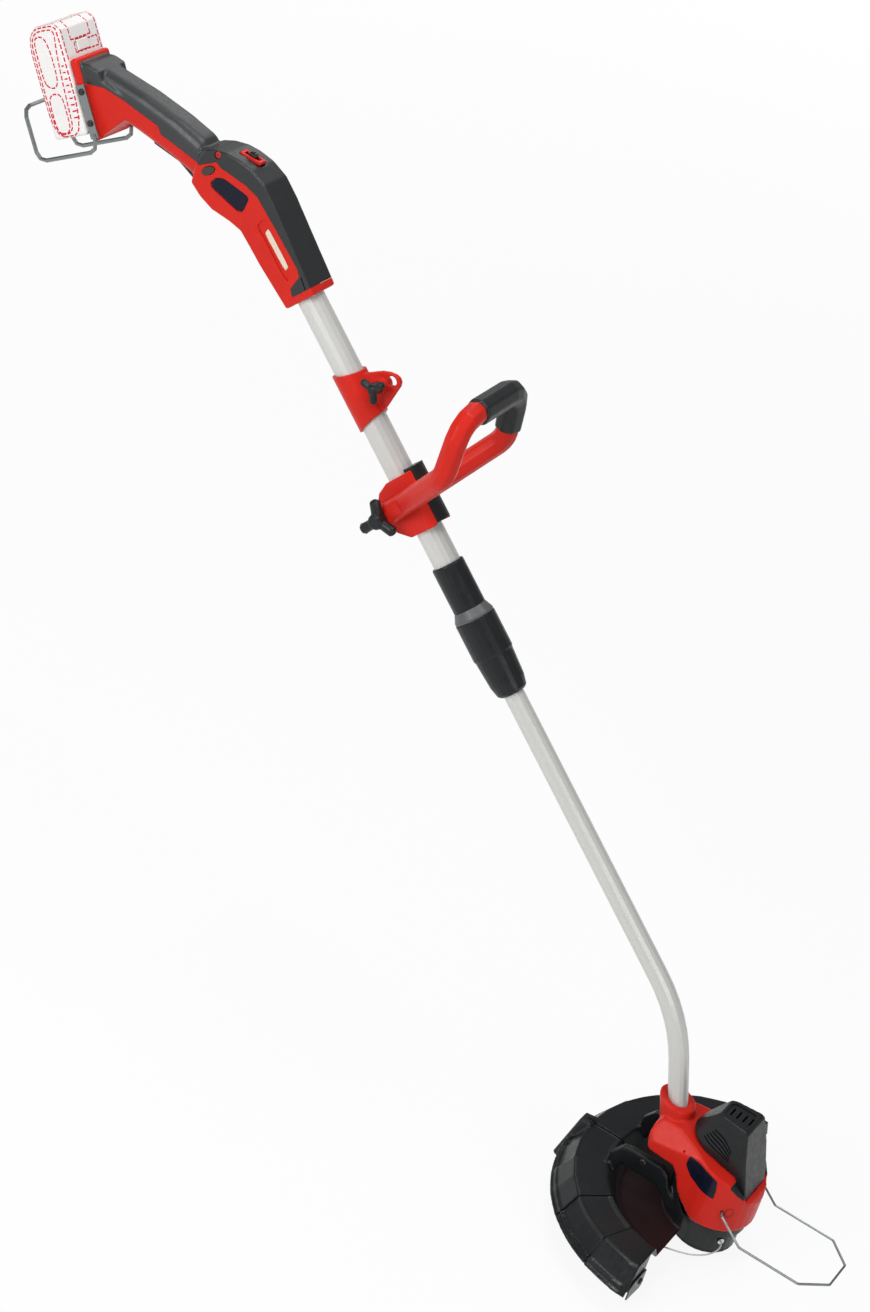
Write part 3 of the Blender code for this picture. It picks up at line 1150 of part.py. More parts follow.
def guard_section(raised):
    """Closed section (radius, z) of the guard's sheet, from the collar out to the skirt."""
    t = GUARD_SHEET
    top = GUARD_TOP_Z + raised
    skirt = GUARD_SKIRT + raised
    outer = [(GUARD_COLLAR + 1.5 * MM, 90 * MM), (GUARD_COLLAR + 1.5 * MM, GUARD_FLOOR_Z + t / 2),
             (GUARD_FLOOR_EDGE, GUARD_FLOOR_Z + t / 2), (GUARD_INNER_RIM, top), (GUARD_RIDGE + raised, top),
             (skirt, GUARD_SKIRT_Z)]
    inner = [(skirt - t, GUARD_SKIRT_Z), (GUARD_RIDGE + raised - t * 0.7, top - t), (GUARD_INNER_RIM + t * 0.7, top - t),
             (GUARD_FLOOR_EDGE + t * 0.6, GUARD_FLOOR_Z - t / 2), (GUARD_COLLAR - 1.2 * MM, GUARD_FLOOR_Z - t / 2),
             (GUARD_COLLAR - 1.2 * MM, 90 * MM)]
    return outer + inner


def build_guard():
    rings = []
    width = 180.0 / GUARD_SECTORS
    for k in range(GUARD_SECTORS):
        raised = GUARD_STEP * (k % 2)
        start = 90.0 + width * k + (0.35 if k else -6.0)
        end = 90.0 + width * (k + 1) - (0.35 if k < GUARD_SECTORS - 1 else -6.0)
        for i in range(3):
            turn = math.radians(start + (end - start) * i / 2)
            rings.append([(r * math.cos(turn), r * math.sin(turn), z) for r, z in guard_section(raised)])
    guard = loft("guard", rings, HEAD)
    foot = side_plate("guard_foot", mm_points((-160, 62), (-168, 70), (-182, 68), (-200, 3), (-197, 0), (-191, 0),
                                              (-176, 40)), -9 * MM, 9 * MM, HEAD, True, 1.0 * MM)
    holder = box("cutter_holder", (-26 * MM, -170 * MM, 26 * MM), (-12.3 * MM, -136 * MM, 65 * MM), HEAD, True, MM)
    join(guard, foot, holder)
    arm = mm_points((-124, 58), (-124, 82), (-112, 98), (-100, 101), (-60, 101), (-50, 92), (-46, 80), (-36, 68),
                    (-36, 52), (-44, 58), (-60, 74), (-108, 74), (-114, 50))
    for sign in (-1, 1):
        low, high = sorted((sign * 36 * MM, sign * 44.5 * MM))
        join(guard, side_plate("guard_arm", arm, low, high, HEAD, True))
        hole = rod("arm_hole", 2.4 * MM, (-83 * MM, sign * 30 * MM, 94 * MM), (-83 * MM, sign * 50 * MM, 94 * MM),
                   HEAD, True, 16)
        cut(guard, hole)
    front = box("guard_front", (GUARD_FRONT, -0.3, -0.05), (0.1, 0.3, 0.2), HEAD, True)
    housing_room = side_plate("guard_housing_room", inset(HOUSING_SIDE, -2 * GAP), -60 * MM, 60 * MM, HEAD, True)
    cut(guard, front, housing_room)
    paint(guard, black_plastic("guard"))
    for sign, name in ((-1, "guard_screw_right"), (1, "guard_screw_left")):
        seat = frame(name + "_seat", -83 * MM, 94 * MM, 0.0, HEAD)
        seat.location.y = sign * (44.5 * MM + GAP)
        seat.rotation_euler = (-sign * math.pi / 2, 0.0, 0.0)
        screw = turned(name, [(0, 2.2 * MM), (3.4 * MM, 2.2 * MM), (4.4 * MM, 1.2 * MM), (4.4 * MM, 0), (2 * MM, 0),
                              (2 * MM, -7 * MM), (0, -7 * MM)], seat, steps=18)
        paint(screw, steel("guard_screw"))

    blade_y = -CUTTER_RADIUS
    blade_outline = [(-178 * MM, 24 * MM), (-178 * MM, 40 * MM), (-166 * MM, 46 * MM), (-141 * MM, 46 * MM),
                     (-139 * MM, 44 * MM), (-139 * MM, 20 * MM), (-144 * MM, 18 * MM)]
    seat = frame("cutter_seat", GUARD_FRONT + 1.2 * MM, 0.0, 0.0, HEAD)
    blade = side_plate("line_cutter", [(-y, z) for y, z in blade_outline], -0.8 * MM, 0.8 * MM, seat)
    seat.rotation_euler = (0.0, 0.0, -math.pi / 2)
    hole = rod("cutter_hole", 2.4 * MM, (-blade_y, -5 * MM, 34 * MM), (-blade_y, 5 * MM, 34 * MM), seat, True, 16)
    cut(blade, hole)
    paint(blade, steel("cutter"))
    screw_seat = frame("cutter_screw_seat", GUARD_FRONT + 2.0 * MM + GAP, 34 * MM, 0.0, HEAD)
    screw_seat.location.y = blade_y
    screw_seat.rotation_euler = (0.0, math.pi / 2, 0.0)
    screw = turned("cutter_screw", [(0, 2 * MM), (3 * MM, 2 * MM), (4 * MM, MM), (4 * MM, 0), (2 * MM, 0),
                                    (2 * MM, -2.0 * MM), (0, -2.0 * MM)], screw_seat, steps=16)
    paint(screw, steel("cutter_screw"))


def build_plant_guard():
    """Wire loop hung in the housing's sides, folding up about its two ends."""
    pivot = frame("plant_guard_pivot", WIRE_GUARD_PIVOT_X, WIRE_GUARD_PIVOT_Z, 0.0, HEAD)
    drop = WIRE_GUARD_LEVEL - WIRE_GUARD_PIVOT_Z
    reach = WIRE_GUARD_REACH - WIRE_GUARD_PIVOT_X
    side = HOUSING_HALF_WIDTH + 2.5 * MM
    near = [(0, -side + 8 * MM, 0), (0, -side, 0), (34 * MM, -side, drop), (112 * MM, -side, drop),
            (reach, -21 * MM, drop)]
    far = [(x, -y, z) for x, y, z in reversed(near)]
    loop = wire("plant_guard", rounded_path(near + far, 3.5 * MM, 2), WIRE_GUARD / 2, pivot, sides=1)
    paint(loop, steel("plant_guard"))


build_controls()
build_handle()
build_battery()
build_stand()
build_shaft()
build_coupling()
build_strap_clamp()
build_aux_handle()
build_cover()
build_housing()
build_motor()
build_spool()
build_guard()
build_plant_guard()
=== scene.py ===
import math

import bmesh
import bpy
from mathutils import Matrix, Vector
from mathutils.bvhtree import BVHTree


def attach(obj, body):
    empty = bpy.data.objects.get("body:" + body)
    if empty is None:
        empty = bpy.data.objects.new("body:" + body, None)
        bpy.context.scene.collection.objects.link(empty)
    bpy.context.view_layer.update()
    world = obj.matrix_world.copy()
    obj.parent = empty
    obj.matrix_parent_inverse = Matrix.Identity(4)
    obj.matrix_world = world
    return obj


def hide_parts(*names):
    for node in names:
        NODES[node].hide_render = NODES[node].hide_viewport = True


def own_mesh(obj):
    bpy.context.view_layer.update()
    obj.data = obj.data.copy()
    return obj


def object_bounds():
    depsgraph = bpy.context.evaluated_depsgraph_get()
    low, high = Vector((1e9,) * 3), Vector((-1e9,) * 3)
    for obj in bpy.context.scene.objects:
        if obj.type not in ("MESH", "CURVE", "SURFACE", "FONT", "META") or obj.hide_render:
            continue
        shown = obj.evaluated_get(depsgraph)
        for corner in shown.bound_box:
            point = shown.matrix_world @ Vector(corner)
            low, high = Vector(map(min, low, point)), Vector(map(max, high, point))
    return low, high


MM = 0.001
WELD = 0.00001  # metres within which corners are taken as one
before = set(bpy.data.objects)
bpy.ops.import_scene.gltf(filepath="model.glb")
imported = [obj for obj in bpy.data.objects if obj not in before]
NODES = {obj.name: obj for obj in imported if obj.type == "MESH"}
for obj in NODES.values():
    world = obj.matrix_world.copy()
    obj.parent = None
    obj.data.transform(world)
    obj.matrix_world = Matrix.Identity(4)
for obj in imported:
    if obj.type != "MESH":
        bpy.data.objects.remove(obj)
cad_low, cad_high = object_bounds()


# Materials

DRIFT_CELLS = 38.0  # cells per metre of the slow colour drift
CLOUD_CELLS = 160.0  # and of the cloudy gloss
GRAIN_DEPTH = 0.0002  # metres
NOISE_RANGE = (0.3, 0.7)  # where nearly all of a noise's values lie


def new_material(name, colour, rough, metal=0.0, coat=0.0, specular=0.5):
    """A Principled surface with its even values on its own sockets."""
    made = bpy.data.materials.new(name)
    made.use_nodes = True
    made.diffuse_color = (*colour, 1.0)
    shader = made.node_tree.nodes["Principled BSDF"]
    shader.inputs["Base Color"].default_value = (*colour, 1.0)
    shader.inputs["Roughness"].default_value = rough
    shader.inputs["Metallic"].default_value = metal
    shader.inputs["Coat Weight"].default_value = coat
    shader.inputs["Coat Roughness"].default_value = 0.12
    shader.inputs["Specular IOR Level"].default_value = specular
    return made


def object_noise(tree, scale, detail=2.0):
    """Noise in the part's own metres: scale is in cells per metre."""
    place = tree.nodes.new("ShaderNodeTexCoord")
    noise = tree.nodes.new("ShaderNodeTexNoise")
    noise.inputs["Scale"].default_value = scale
    noise.inputs["Detail"].default_value = detail
    tree.links.new(place.outputs["Object"], noise.inputs["Vector"])
    return noise.outputs["Fac"]


def spread(tree, value, low, high):
    """A noise's values, spread from low to high."""
    scale = tree.nodes.new("ShaderNodeMapRange")
    scale.inputs["From Min"].default_value = NOISE_RANGE[0]
    scale.inputs["From Max"].default_value = NOISE_RANGE[1]
    scale.inputs["To Min"].default_value = low
    scale.inputs["To Max"].default_value = high
    tree.links.new(value, scale.inputs["Value"])
    return scale.outputs["Result"]


def finish_surface(made, colour, tone, rough, rough_spread, grain, bump):
    """Adds slow colour drift, cloudy gloss and a fine grain to a surface."""
    tree = made.node_tree
    shader = tree.nodes["Principled BSDF"]
    drift = spread(tree, object_noise(tree, DRIFT_CELLS, 3.0), 0.0, 1.0)
    mix = tree.nodes.new("ShaderNodeMix")
    mix.data_type = "RGBA"
    mix.inputs["A"].default_value = (*[c * (1 - tone) for c in colour], 1.0)
    mix.inputs["B"].default_value = (*[min(1.0, c * (1 + tone)) for c in colour], 1.0)
    tree.links.new(drift, mix.inputs["Factor"])
    tree.links.new(mix.outputs["Result"], shader.inputs["Base Color"])
    cloud = spread(tree, object_noise(tree, CLOUD_CELLS), rough - rough_spread, rough + rough_spread)
    tree.links.new(cloud, shader.inputs["Roughness"])
    relief = tree.nodes.new("ShaderNodeBump")
    relief.inputs["Strength"].default_value = bump
    relief.inputs["Distance"].default_value = GRAIN_DEPTH
    tree.links.new(object_noise(tree, grain), relief.inputs["Height"])
    tree.links.new(relief.outputs["Normal"], shader.inputs["Normal"])
    return made


def plastic(name, colour, rough=0.35, tone=0.05, rough_spread=0.05, grain=2600.0, bump=0.12, coat=0.0,
            specular=0.5):
    """Moulded plastic or rubber: tone is the share by which the colour drifts, grain is in cells per metre."""
    made = new_material(name, colour, rough, coat=coat, specular=specular)
    return finish_surface(made, colour, tone, rough, rough_spread, grain, bump)


def metal(name, colour, rough, rough_spread=0.06, tone=0.03, metallic=1.0, grain=900.0, bump=0.05):
    """Bare, plated or drawn metal, with the same values."""
    made = new_material(name, colour, rough, metallic)
    return finish_surface(made, colour, tone, rough, rough_spread, grain, bump)


RED = plastic("red_shell", (0.59, 0.0185, 0.0105), rough=0.38, tone=0.04, grain=2200.0, bump=0.04,
              specular=0.17)
# Painted shade: a darker red for the screw that sits in the switch cover's hole, where shade falls.
HOLE_SHADE_RED = plastic("red_painted_hole_shade", (0.42, 0.012, 0.008), rough=0.42)
BLACK = plastic("black_body", (0.011, 0.0125, 0.0135), rough=0.38, tone=0.12, rough_spread=0.06,
                grain=2400.0, bump=0.05, specular=0.3)
GLOSS_BLACK = plastic("black_guard", (0.009, 0.0105, 0.0115), rough=0.34, tone=0.12, grain=1800.0, bump=0.03,
                      specular=0.3)
# Painted reflection: the guard's floor is dark red-brown, standing in for the red housing mirrored in it.
FLOOR_RED_REFLECTION = plastic("guard_floor_painted_reflection", (0.016, 0.006, 0.007), rough=0.45, tone=0.12, grain=1800.0, bump=0.03,
                      specular=0.2)
RUBBER = plastic("black_rubber", (0.016, 0.0180, 0.0195), rough=0.46, tone=0.10, rough_spread=0.03,
                 grain=2400.0, bump=0.03, specular=0.65)
COVER_BLACK = plastic("cover_black", (0.013, 0.0145, 0.0155), rough=0.43, tone=0.10, rough_spread=0.03,
                      bump=0.02)
AUX_RUBBER = plastic("aux_rubber", (0.012, 0.0135, 0.0145), rough=0.42, tone=0.10, rough_spread=0.04,
                     grain=2400.0, bump=0.05, specular=0.35)
RING_GREY = plastic("ring_grey", (0.085, 0.090, 0.095), rough=0.42)
# Painted shade: a dark red that stands in for the shade round the boss at the wire hole.
PAINTED_SHADE_RED = plastic("painted_shade_red", (0.15, 0.006, 0.005), rough=0.5)
SCREW_BLACK = plastic("black_screw", (0.012, 0.012, 0.013), rough=0.32, tone=0.1)
WHITE = plastic("battery_white", (0.80, 0.78, 0.775), rough=0.5, tone=0.015, rough_spread=0.04, bump=0.04)
RED_LINE = plastic("battery_red_line", (0.60, 0.015, 0.035), rough=0.5, tone=0.04, specular=0.2)
TUBE = metal("tube_silver", (0.62, 0.62, 0.60), rough=0.42, rough_spread=0.03, tone=0.008, metallic=0.35,
             grain=700.0, bump=0.01)
CHROME = metal("chrome_wire", (0.25, 0.275, 0.275), rough=0.42, rough_spread=0.04, bump=0.02)
GREY = plastic("grey_plastic", (0.16, 0.17, 0.18), rough=0.45)
GREEN = plastic("board_green", (0.03, 0.16, 0.07), rough=0.5)
NYLON = plastic("line_nylon", (0.55, 0.57, 0.56), tone=0.03, rough_spread=0.04, grain=1500.0, bump=0.05,
                coat=0.3)
STEEL = metal("bright_steel", (0.58, 0.59, 0.60), rough=0.28)
NAVY = plastic("label_navy", (0.004, 0.0055, 0.017), rough=0.3, tone=0.1, rough_spread=0.03, grain=1200.0,
               bump=0.02, specular=0.2)
CREAM = plastic("slot_cream", (0.72, 0.62, 0.50), rough=0.5, tone=0.03)
DARK_STEEL = metal("cutter_steel", (0.075, 0.078, 0.08), rough=0.4)
OLIVE = plastic("button_olive", (0.030, 0.026, 0.016), rough=0.4, tone=0.1)

NODE_LOOKS = (
    (RED, ("handle_shell_right", "handle_shell_left", "slider_frame", "strap_clamp", "aux_frame",
           "aux_clamp_rear", "head_housing_right", "head_housing_left")),
    (BLACK, ("body_cover", "micro_switch", "trigger", "speed_slider", "dock_contacts", "strap_screw",
             "aux_clamp_front", "aux_knob", "coupling_sleeve", "coupling_nut", "tube_bush", "motor_cover",
             "spool_cup", "spool_cap", "bump_knob")),
    (GLOSS_BLACK, ("guard",)),
    (OLIVE, ("lock_button",)),
    (DARK_STEEL, ("line_cutter", "cutter_screw")),
    (RUBBER, ("grip_rubber",)),
    (AUX_RUBBER, ("aux_grip",)),
    (RING_GREY, ("coupling_ring",)),
    (SCREW_BLACK, ("stand_screw_1", "stand_screw_2", "stand_screw_3", "stand_screw_4", "guard_screw_right",
                   "guard_screw_left")),
    (WHITE, ("battery_pack", "battery_latch")),
    (TUBE, ("upper_tube", "lower_tube")),
    (CHROME, ("battery_stand", "plant_guard")),
    (GREY, ("collet", "line_reel", "fan")),
    (GREEN, ("control_board",)),
    (NYLON, ("cutting_line", "wound_line")),
    (STEEL, ("trigger_spring", "aux_bolt", "motor_can", "bearing_lower", "bearing_upper",
             "rotor", "line_eyelet", "bump_spring")),
)
for look, names in NODE_LOOKS:
    for node_name in names:
        node = NODES[node_name]
        node.data.materials.clear()
        node.data.materials.append(look)


# Shapes

def linked(name, mesh, look):
    """A new object in the scene, in one material if it is given a look."""
    item = bpy.data.objects.new(name, mesh)
    bpy.context.scene.collection.objects.link(item)
    if look is not None:
        mesh.materials.clear()
        mesh.materials.append(look)
        mesh.polygons.foreach_set("material_index", [0] * len(mesh.polygons))
    return item


def settle(item, body, slot, *nodes):
    """Puts a finished piece on its body and in the place of its solids, if it has any; its finish slot is not
    used.
    """
    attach(item, body)
    if nodes:
        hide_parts(*nodes)
    return item


def smooth_faces(mesh, angle):
    """Shades the faces smooth, but for edges sharper than an angle in degrees."""
    mesh.polygons.foreach_set("use_smooth", [True] * len(mesh.polygons))
    mesh.set_sharp_from_angle(angle=math.radians(angle))


def voxel_remesh(item, voxel, rounds):
    """Meshes an object evenly, in voxels of a size in mm, and relaxes it."""
    even = item.modifiers.new("even", "REMESH")
    even.mode = "VOXEL"
    even.voxel_size = voxel * MM
    soft = item.modifiers.new("soft", "SMOOTH")
    soft.factor = 0.5
    soft.iterations = rounds


def evaluated(item, name):
    """The object's mesh with its modifiers applied; the object itself is removed."""
    bpy.context.view_layer.update()
    depsgraph = bpy.context.evaluated_depsgraph_get()
    mesh = bpy.data.meshes.new_from_object(item.evaluated_get(depsgraph))
    mesh.name = name
    old = item.data
    bpy.data.objects.remove(item)
    bpy.data.meshes.remove(old)
    return mesh


def fitted(name, mesh, look, angle, body, slot, *nodes):
    """Makes a mesh a finished piece; its edges sharper than an angle in degrees stay sharp."""
    smooth_faces(mesh, angle)
    return settle(linked(name, mesh, look), body, slot, *nodes)


def angles(count):
    """Evenly spaced angles once round, in radians."""
    return [2 * math.pi * k / count for k in range(count)]


def circle(x, z, radius, count):
    """An outline in mm."""
    return [(x + radius * math.cos(t), z + radius * math.sin(t)) for t in angles(count)]


def bridge(shape, rows):
    """Walls of faces between rows of corners that each run once round."""
    for first, second in zip(rows, rows[1:]):
        count = len(first)
        for i in range(count):
            shape.faces.new((first[i], first[(i + 1) % count], second[(i + 1) % count], second[i]))


def loft(shape, rows):
    """A closed skin over rows of corners that each run once round."""
    bridge(shape, rows)
    shape.faces.new(rows[0][::-1])
    shape.faces.new(rows[-1])


def from_shape(name, shape):
    """The mesh of a shape, which is used up."""
    mesh = bpy.data.meshes.new(name)
    shape.normal_update()
    shape.to_mesh(mesh)
    shape.free()
    return mesh


def swelled(names, grow):
    """The nodes' solids in one mesh, each grown by a little in mm so that they meet."""
    whole = bmesh.new()
    for name in names:
        shape = bmesh.new()
        shape.from_mesh(NODES[name].data)
        bmesh.ops.remove_doubles(shape, verts=shape.verts, dist=WELD)
        shape.normal_update()
        moved = [v.co + v.normal * (grow * MM * min(v.calc_shell_factor(), 2.0)) for v in shape.verts]
        for vertex, place in zip(shape.verts, moved):
            vertex.co = place
        part = bpy.data.meshes.new("swelled")
        shape.to_mesh(part)
        shape.free()
        whole.from_mesh(part)
        bpy.data.meshes.remove(part)
    return whole


def rounded(names, voxel, rounds, grow, extra=()):
    """The nodes' solids as one evenly meshed, softened body, as from a mould; voxel and grow in mm."""
    shape = swelled(names, grow)
    for mesh in extra:
        shape.from_mesh(mesh)
    item = linked("moulding", from_shape("moulding", shape), None)
    voxel_remesh(item, voxel, rounds)
    return evaluated(item, "moulding")


def carved(mesh, name, *steps):
    """The mesh changed by other closed meshes: steps are ("DIFFERENCE", "INTERSECT" or "UNION", mesh)."""
    item = linked(name, mesh, None)
    tools = []
    for operation, tool in steps:
        other = linked("tool", tool, None)
        tools.append(other)
        change = item.modifiers.new("carve", "BOOLEAN")
        change.operation = operation
        change.solver = "MANIFOLD"
        change.object = other
    result = evaluated(item, name)
    for other in tools:
        bpy.data.objects.remove(other)
    return result


def prism(points, low, high, axis="y"):
    """Closed solid: an outline of (x, z) in mm drawn out along y, or of (x, y) drawn out along z."""
    shape = bmesh.new()
    area = sum(a[0] * b[1] - b[0] * a[1] for a, b in zip(points, points[1:] + points[:1]))
    if area < 0:
        points = points[::-1]
    rows = []
    for level in (low, high):
        if axis == "y":
            rows.append([shape.verts.new((x * MM, level * MM, z * MM)) for x, z in points])
        else:
            rows.append([shape.verts.new((x * MM, y * MM, level * MM)) for x, y in points])
    loft(shape, rows)
    bmesh.ops.triangulate(shape, faces=[f for f in shape.faces if len(f.verts) > 4])
    bmesh.ops.recalc_face_normals(shape, faces=shape.faces)
    return from_shape("prism", shape)


def soft_corners(points, share=0.25, times=2, closed=True):
    """The outline with its corners cut off again and again, so that they turn round."""
    for _ in range(times):
        made = []
        count = len(points)
        last = count if closed else count - 1
        for i in range(last):
            here, there = points[i], points[(i + 1) % count]
            made.append(tuple(a + (b - a) * share for a, b in zip(here, there)))
            made.append(tuple(a + (b - a) * (1 - share) for a, b in zip(here, there)))
        if not closed:
            made = [points[0]] + made[1:-1] + [points[-1]]
        points = made
    return points


def grown(points, width):
    """The outline moved outwards from its middle by about a width in mm."""
    middle = [sum(p[k] for p in points) / len(points) for k in (0, 1)]
    made = []
    for x, z in points:
        away = Vector((x - middle[0], z - middle[1]))
        away = away * (1 + width / max(away.length, 0.1))
        made.append((middle[0] + away.x, middle[1] + away.y))
    return made


INWARD = Vector((0.0, 1.0, 0.0))  # from the side that faces the camera
OUTSIDE = -0.3  # y in metres, well past that side


def near_side(x, z):
    """A point outside the right-hand side, at x and z in mm."""
    return Vector((x * MM, OUTSIDE, z * MM))


def surface_of(mesh):
    """A tree in which rays and nearest points are found."""
    shape = bmesh.new()
    shape.from_mesh(mesh)
    tree = BVHTree.FromBMesh(shape)
    shape.free()
    return tree


def dense(points, step, closed=True):
    """The outline's points with more between them, so that none lie further apart than a step."""
    made = []
    count = len(points)
    for i in range(count if closed else count - 1):
        here, there = points[i], points[(i + 1) % count]
        runs = max(1, math.ceil(math.dist(here, there) / step))
        for k in range(runs):
            made.append(tuple(a + (b - a) * k / runs for a, b in zip(here, there)))
    if not closed:
        made.append(points[-1])
    return made


PLATE_STEP = 1.6  # mm between the corners on a plate's outline
PLATE_EDGE = 0.12  # height in mm of the slant at its edge
PLATE_TOP = 0.975  # share of the way out at which the slant ends


def plate_on(name, tree, points, look, raised, sunk=0.8, rings=5):
    """A thin plate laid on a surface's right-hand side: an outline of (x, z) in mm, cast inwards in rings."""
    points = dense(points, PLATE_STEP)
    count = len(points)
    middle = [sum(p[k] for p in points) / count for k in (0, 1)]
    shape = bmesh.new()
    rows = []
    steps = [(1.0, -sunk), (1.0, raised - PLATE_EDGE), (PLATE_TOP, raised)]
    steps += [(PLATE_TOP * (1 - (k + 1) / rings), raised) for k in range(rings - 1)]
    for share, lift in steps:
        row = []
        for p in points:
            spot = near_side(*(m + (a - m) * share for m, a in zip(middle, p)))
            hit = tree.ray_cast(spot, INWARD)[0] or tree.find_nearest(spot)[0]
            row.append(shape.verts.new(hit - INWARD * (lift * MM)))
        rows.append(row)
    bridge(shape, rows)
    for row in (rows[0], rows[-1]):
        centre = shape.verts.new(sum((v.co for v in row), Vector()) / count)
        for i in range(count):
            shape.faces.new((row[i], row[(i + 1) % count], centre))
    bmesh.ops.recalc_face_normals(shape, faces=shape.faces)
    mesh = from_shape(name, shape)
    smooth_faces(mesh, 40)
    return linked(name, mesh, look)


def along(points, i):
    """The direction of a path at one of its points."""
    return (points[min(i + 1, len(points) - 1)] - points[max(i - 1, 0)]).normalized()


def ribbon(shape, points, normals, width, raised, sunk):
    """A flat closed strip along points on a surface; width, raised and sunk in mm."""
    rows = []
    for i, point in enumerate(points):
        ahead = along(points, i)
        side = ahead.cross(normals[i]).normalized() * (width * MM / 2)
        up = normals[i] * (raised * MM)
        down = normals[i] * (-sunk * MM)
        # six corners, the upper ones slanted off
        half = (side * 0.8 + up, side + up * 0.4, side + down)
        offsets = (*half, -side + down, -side + up * 0.4, -side * 0.8 + up)
        rows.append([shape.verts.new(point + offset) for offset in offsets])
    loft(shape, rows)


DASH_RUNS = 4  # straight runs in a dash, which follow the surface


def dashed(name, tree, paths, look, dash, space, width, raised=0.22, sunk=0.5):
    """Dashes of printed line along paths of points on a surface; lengths in mm, fitted to each path."""
    shape = bmesh.new()
    for path in paths:
        path = [Vector(p) for p in path]
        lengths = [0.0]
        for first, second in zip(path, path[1:]):
            lengths.append(lengths[-1] + (second - first).length / MM)

        def point_at(want):
            for i in range(len(path) - 1):
                if want <= lengths[i + 1] or i == len(path) - 2:
                    share = (want - lengths[i]) / max(lengths[i + 1] - lengths[i], 1e-6)
                    return path[i].lerp(path[i + 1], min(max(share, 0.0), 1.0))

        total = lengths[-1]
        count = max(1, round((total + space) / (dash + space)))
        pitch = (total + space) / count
        for k in range(count):
            start = k * pitch
            spots = [point_at(start + (pitch - space) * j / DASH_RUNS) for j in range(DASH_RUNS + 1)]
            placed = [tree.find_nearest(spot)[:2] for spot in spots]
            if any(found is None for found, _ in placed):
                continue
            ribbon(shape, [p for p, _ in placed], [n for _, n in placed], width, raised, sunk)
    bmesh.ops.recalc_face_normals(shape, faces=shape.faces)
    mesh = from_shape(name, shape)
    smooth_faces(mesh, 50)
    return linked(name, mesh, look)


def tube_along(points, radius, sides=10):
    """Closed round bar through points in metres; radius in mm is one value or one for each point."""
    sizes = radius if isinstance(radius, list) else [radius] * len(points)
    shape = bmesh.new()
    points = [Vector(p) for p in points]
    rows = []
    side = None
    for i, point in enumerate(points):
        ahead = along(points, i)
        if side is None:
            side = ahead.orthogonal().normalized()
        side = (side - ahead * side.dot(ahead)).normalized()
        other = ahead.cross(side)
        rows.append([shape.verts.new(point + (side * math.cos(t) + other * math.sin(t)) * sizes[i] * MM)
                     for t in angles(sides)])
    loft(shape, rows)
    bmesh.ops.recalc_face_normals(shape, faces=shape.faces)
    return from_shape("bar", shape)


def turned_piece(name, profile, seat, look, steps=32):
    """A solid of revolution: (radius, height) in mm about the seat's z, from the axis and back to it."""
    shape = bmesh.new()
    rows = []
    for radius, height in profile:
        if radius == 0:
            rows.append([shape.verts.new(seat @ Vector((0, 0, height * MM)))])
        else:
            rows.append([shape.verts.new(seat @ Vector((radius * MM * math.cos(t), radius * MM * math.sin(t),
                                                        height * MM))) for t in angles(steps)])
    for first, second in zip(rows, rows[1:]):
        for k in range(steps):
            after = (k + 1) % steps
            if len(first) == 1:
                shape.faces.new((first[0], second[k], second[after]))
            elif len(second) == 1:
                shape.faces.new((first[k], first[after], second[0]))
            else:
                shape.faces.new((first[k], first[after], second[after], second[k]))
    bmesh.ops.recalc_face_normals(shape, faces=shape.faces)
    mesh = from_shape(name, shape)
    smooth_faces(mesh, 35)
    return linked(name, mesh, look)


def seat_at(place, aim):
    """A frame at a place in mm with its z along aim."""
    turn = Vector(aim).to_track_quat("Z", "Y").to_matrix().to_4x4()
    return Matrix.Translation(Vector(place) * MM) @ turn


# Handle

COLLAR = (-789.918, 876.52)  # x and z in mm of the collar's middle


def on_handle(*points):
    """Points in mm from the collar's middle, as x and z in mm of the part's frame."""
    return [(COLLAR[0] + x, COLLAR[1] + z) for x, z in points]


# Lower edge of the black cover and grip, and points that close it far above; then the grip's front edge.
SEAM = on_handle((-320, 122), (-297, 126), (-275, 122), (-249, 117), (-222, 112.5), (-216, 105),
                 (-190, 100), (-160, 94), (-147, 102), (-140, 107), (-132, 103), (-98, 98), (-81, 92),
                 (-51, 68), (-13, 36), (-8, 28), (-15, 10), (-10.3, 1.2), (17.7, 32.4))
SKY = on_handle((30, 90), (-60, 170), (-363.5, 190))
RUBBER_SEAM = on_handle((-164, 60), (-161, 95), (-150, 126), (-150, 170))
REAR = on_handle((-150, 200), (-360, 200), (-360, 40), (-164, 40))
HANDLE_LABEL = [(-930.7, 957.9), (-925.8, 965.7), (-916.5, 969.2), (-880.1, 963.2), (-884.1, 943.5),
                (-891.5, 941.5), (-928.3, 952.9)]
SLOT_RECESS = [(-864, 936), (-856, 949), (-846, 942), (-812, 912), (-811, 903), (-809, 892), (-818, 896),
               (-850, 926)]
PALE_SLOT = [(-852.5, 932.3), (-849.5, 939.9), (-813.9, 908.5), (-816.6, 901.6)]
SIDE_Y = 22.0  # half of the switch body's width
BEYOND = 60.0  # past either side of the handle
LOCK = (-936.9, 969.6)  # x and z of the lock's cross bar
LOCK_LEAN = math.radians(41.0)
CAP_OVAL = (9.2, 4.3)  # halves of the long and the short way across its button
CAP_SIDES = ((-23.3, -17.5), (17.5, 23.3))
BAR_OVAL = (4.2, 4.2)
BAR_HALF = 18.5
GAP_OVAL = (9.8, 4.9)  # the hole in the shells
PLUG_OVAL = (7.6, 7.6)  # closes the solids' wider hole first
COVER_HOLE = (-929.5, 991.6)  # x and z of the screw's hole behind the lock
COVER_GROOVE = [(-796, 904.5), (-794.6, 905.2), (-786, 894), (-787.4, 893.2)]


def lowered(points, drop):
    """The outline moved down by a little in mm, to leave a parting gap."""
    return [(x, z - drop) for x, z in points]


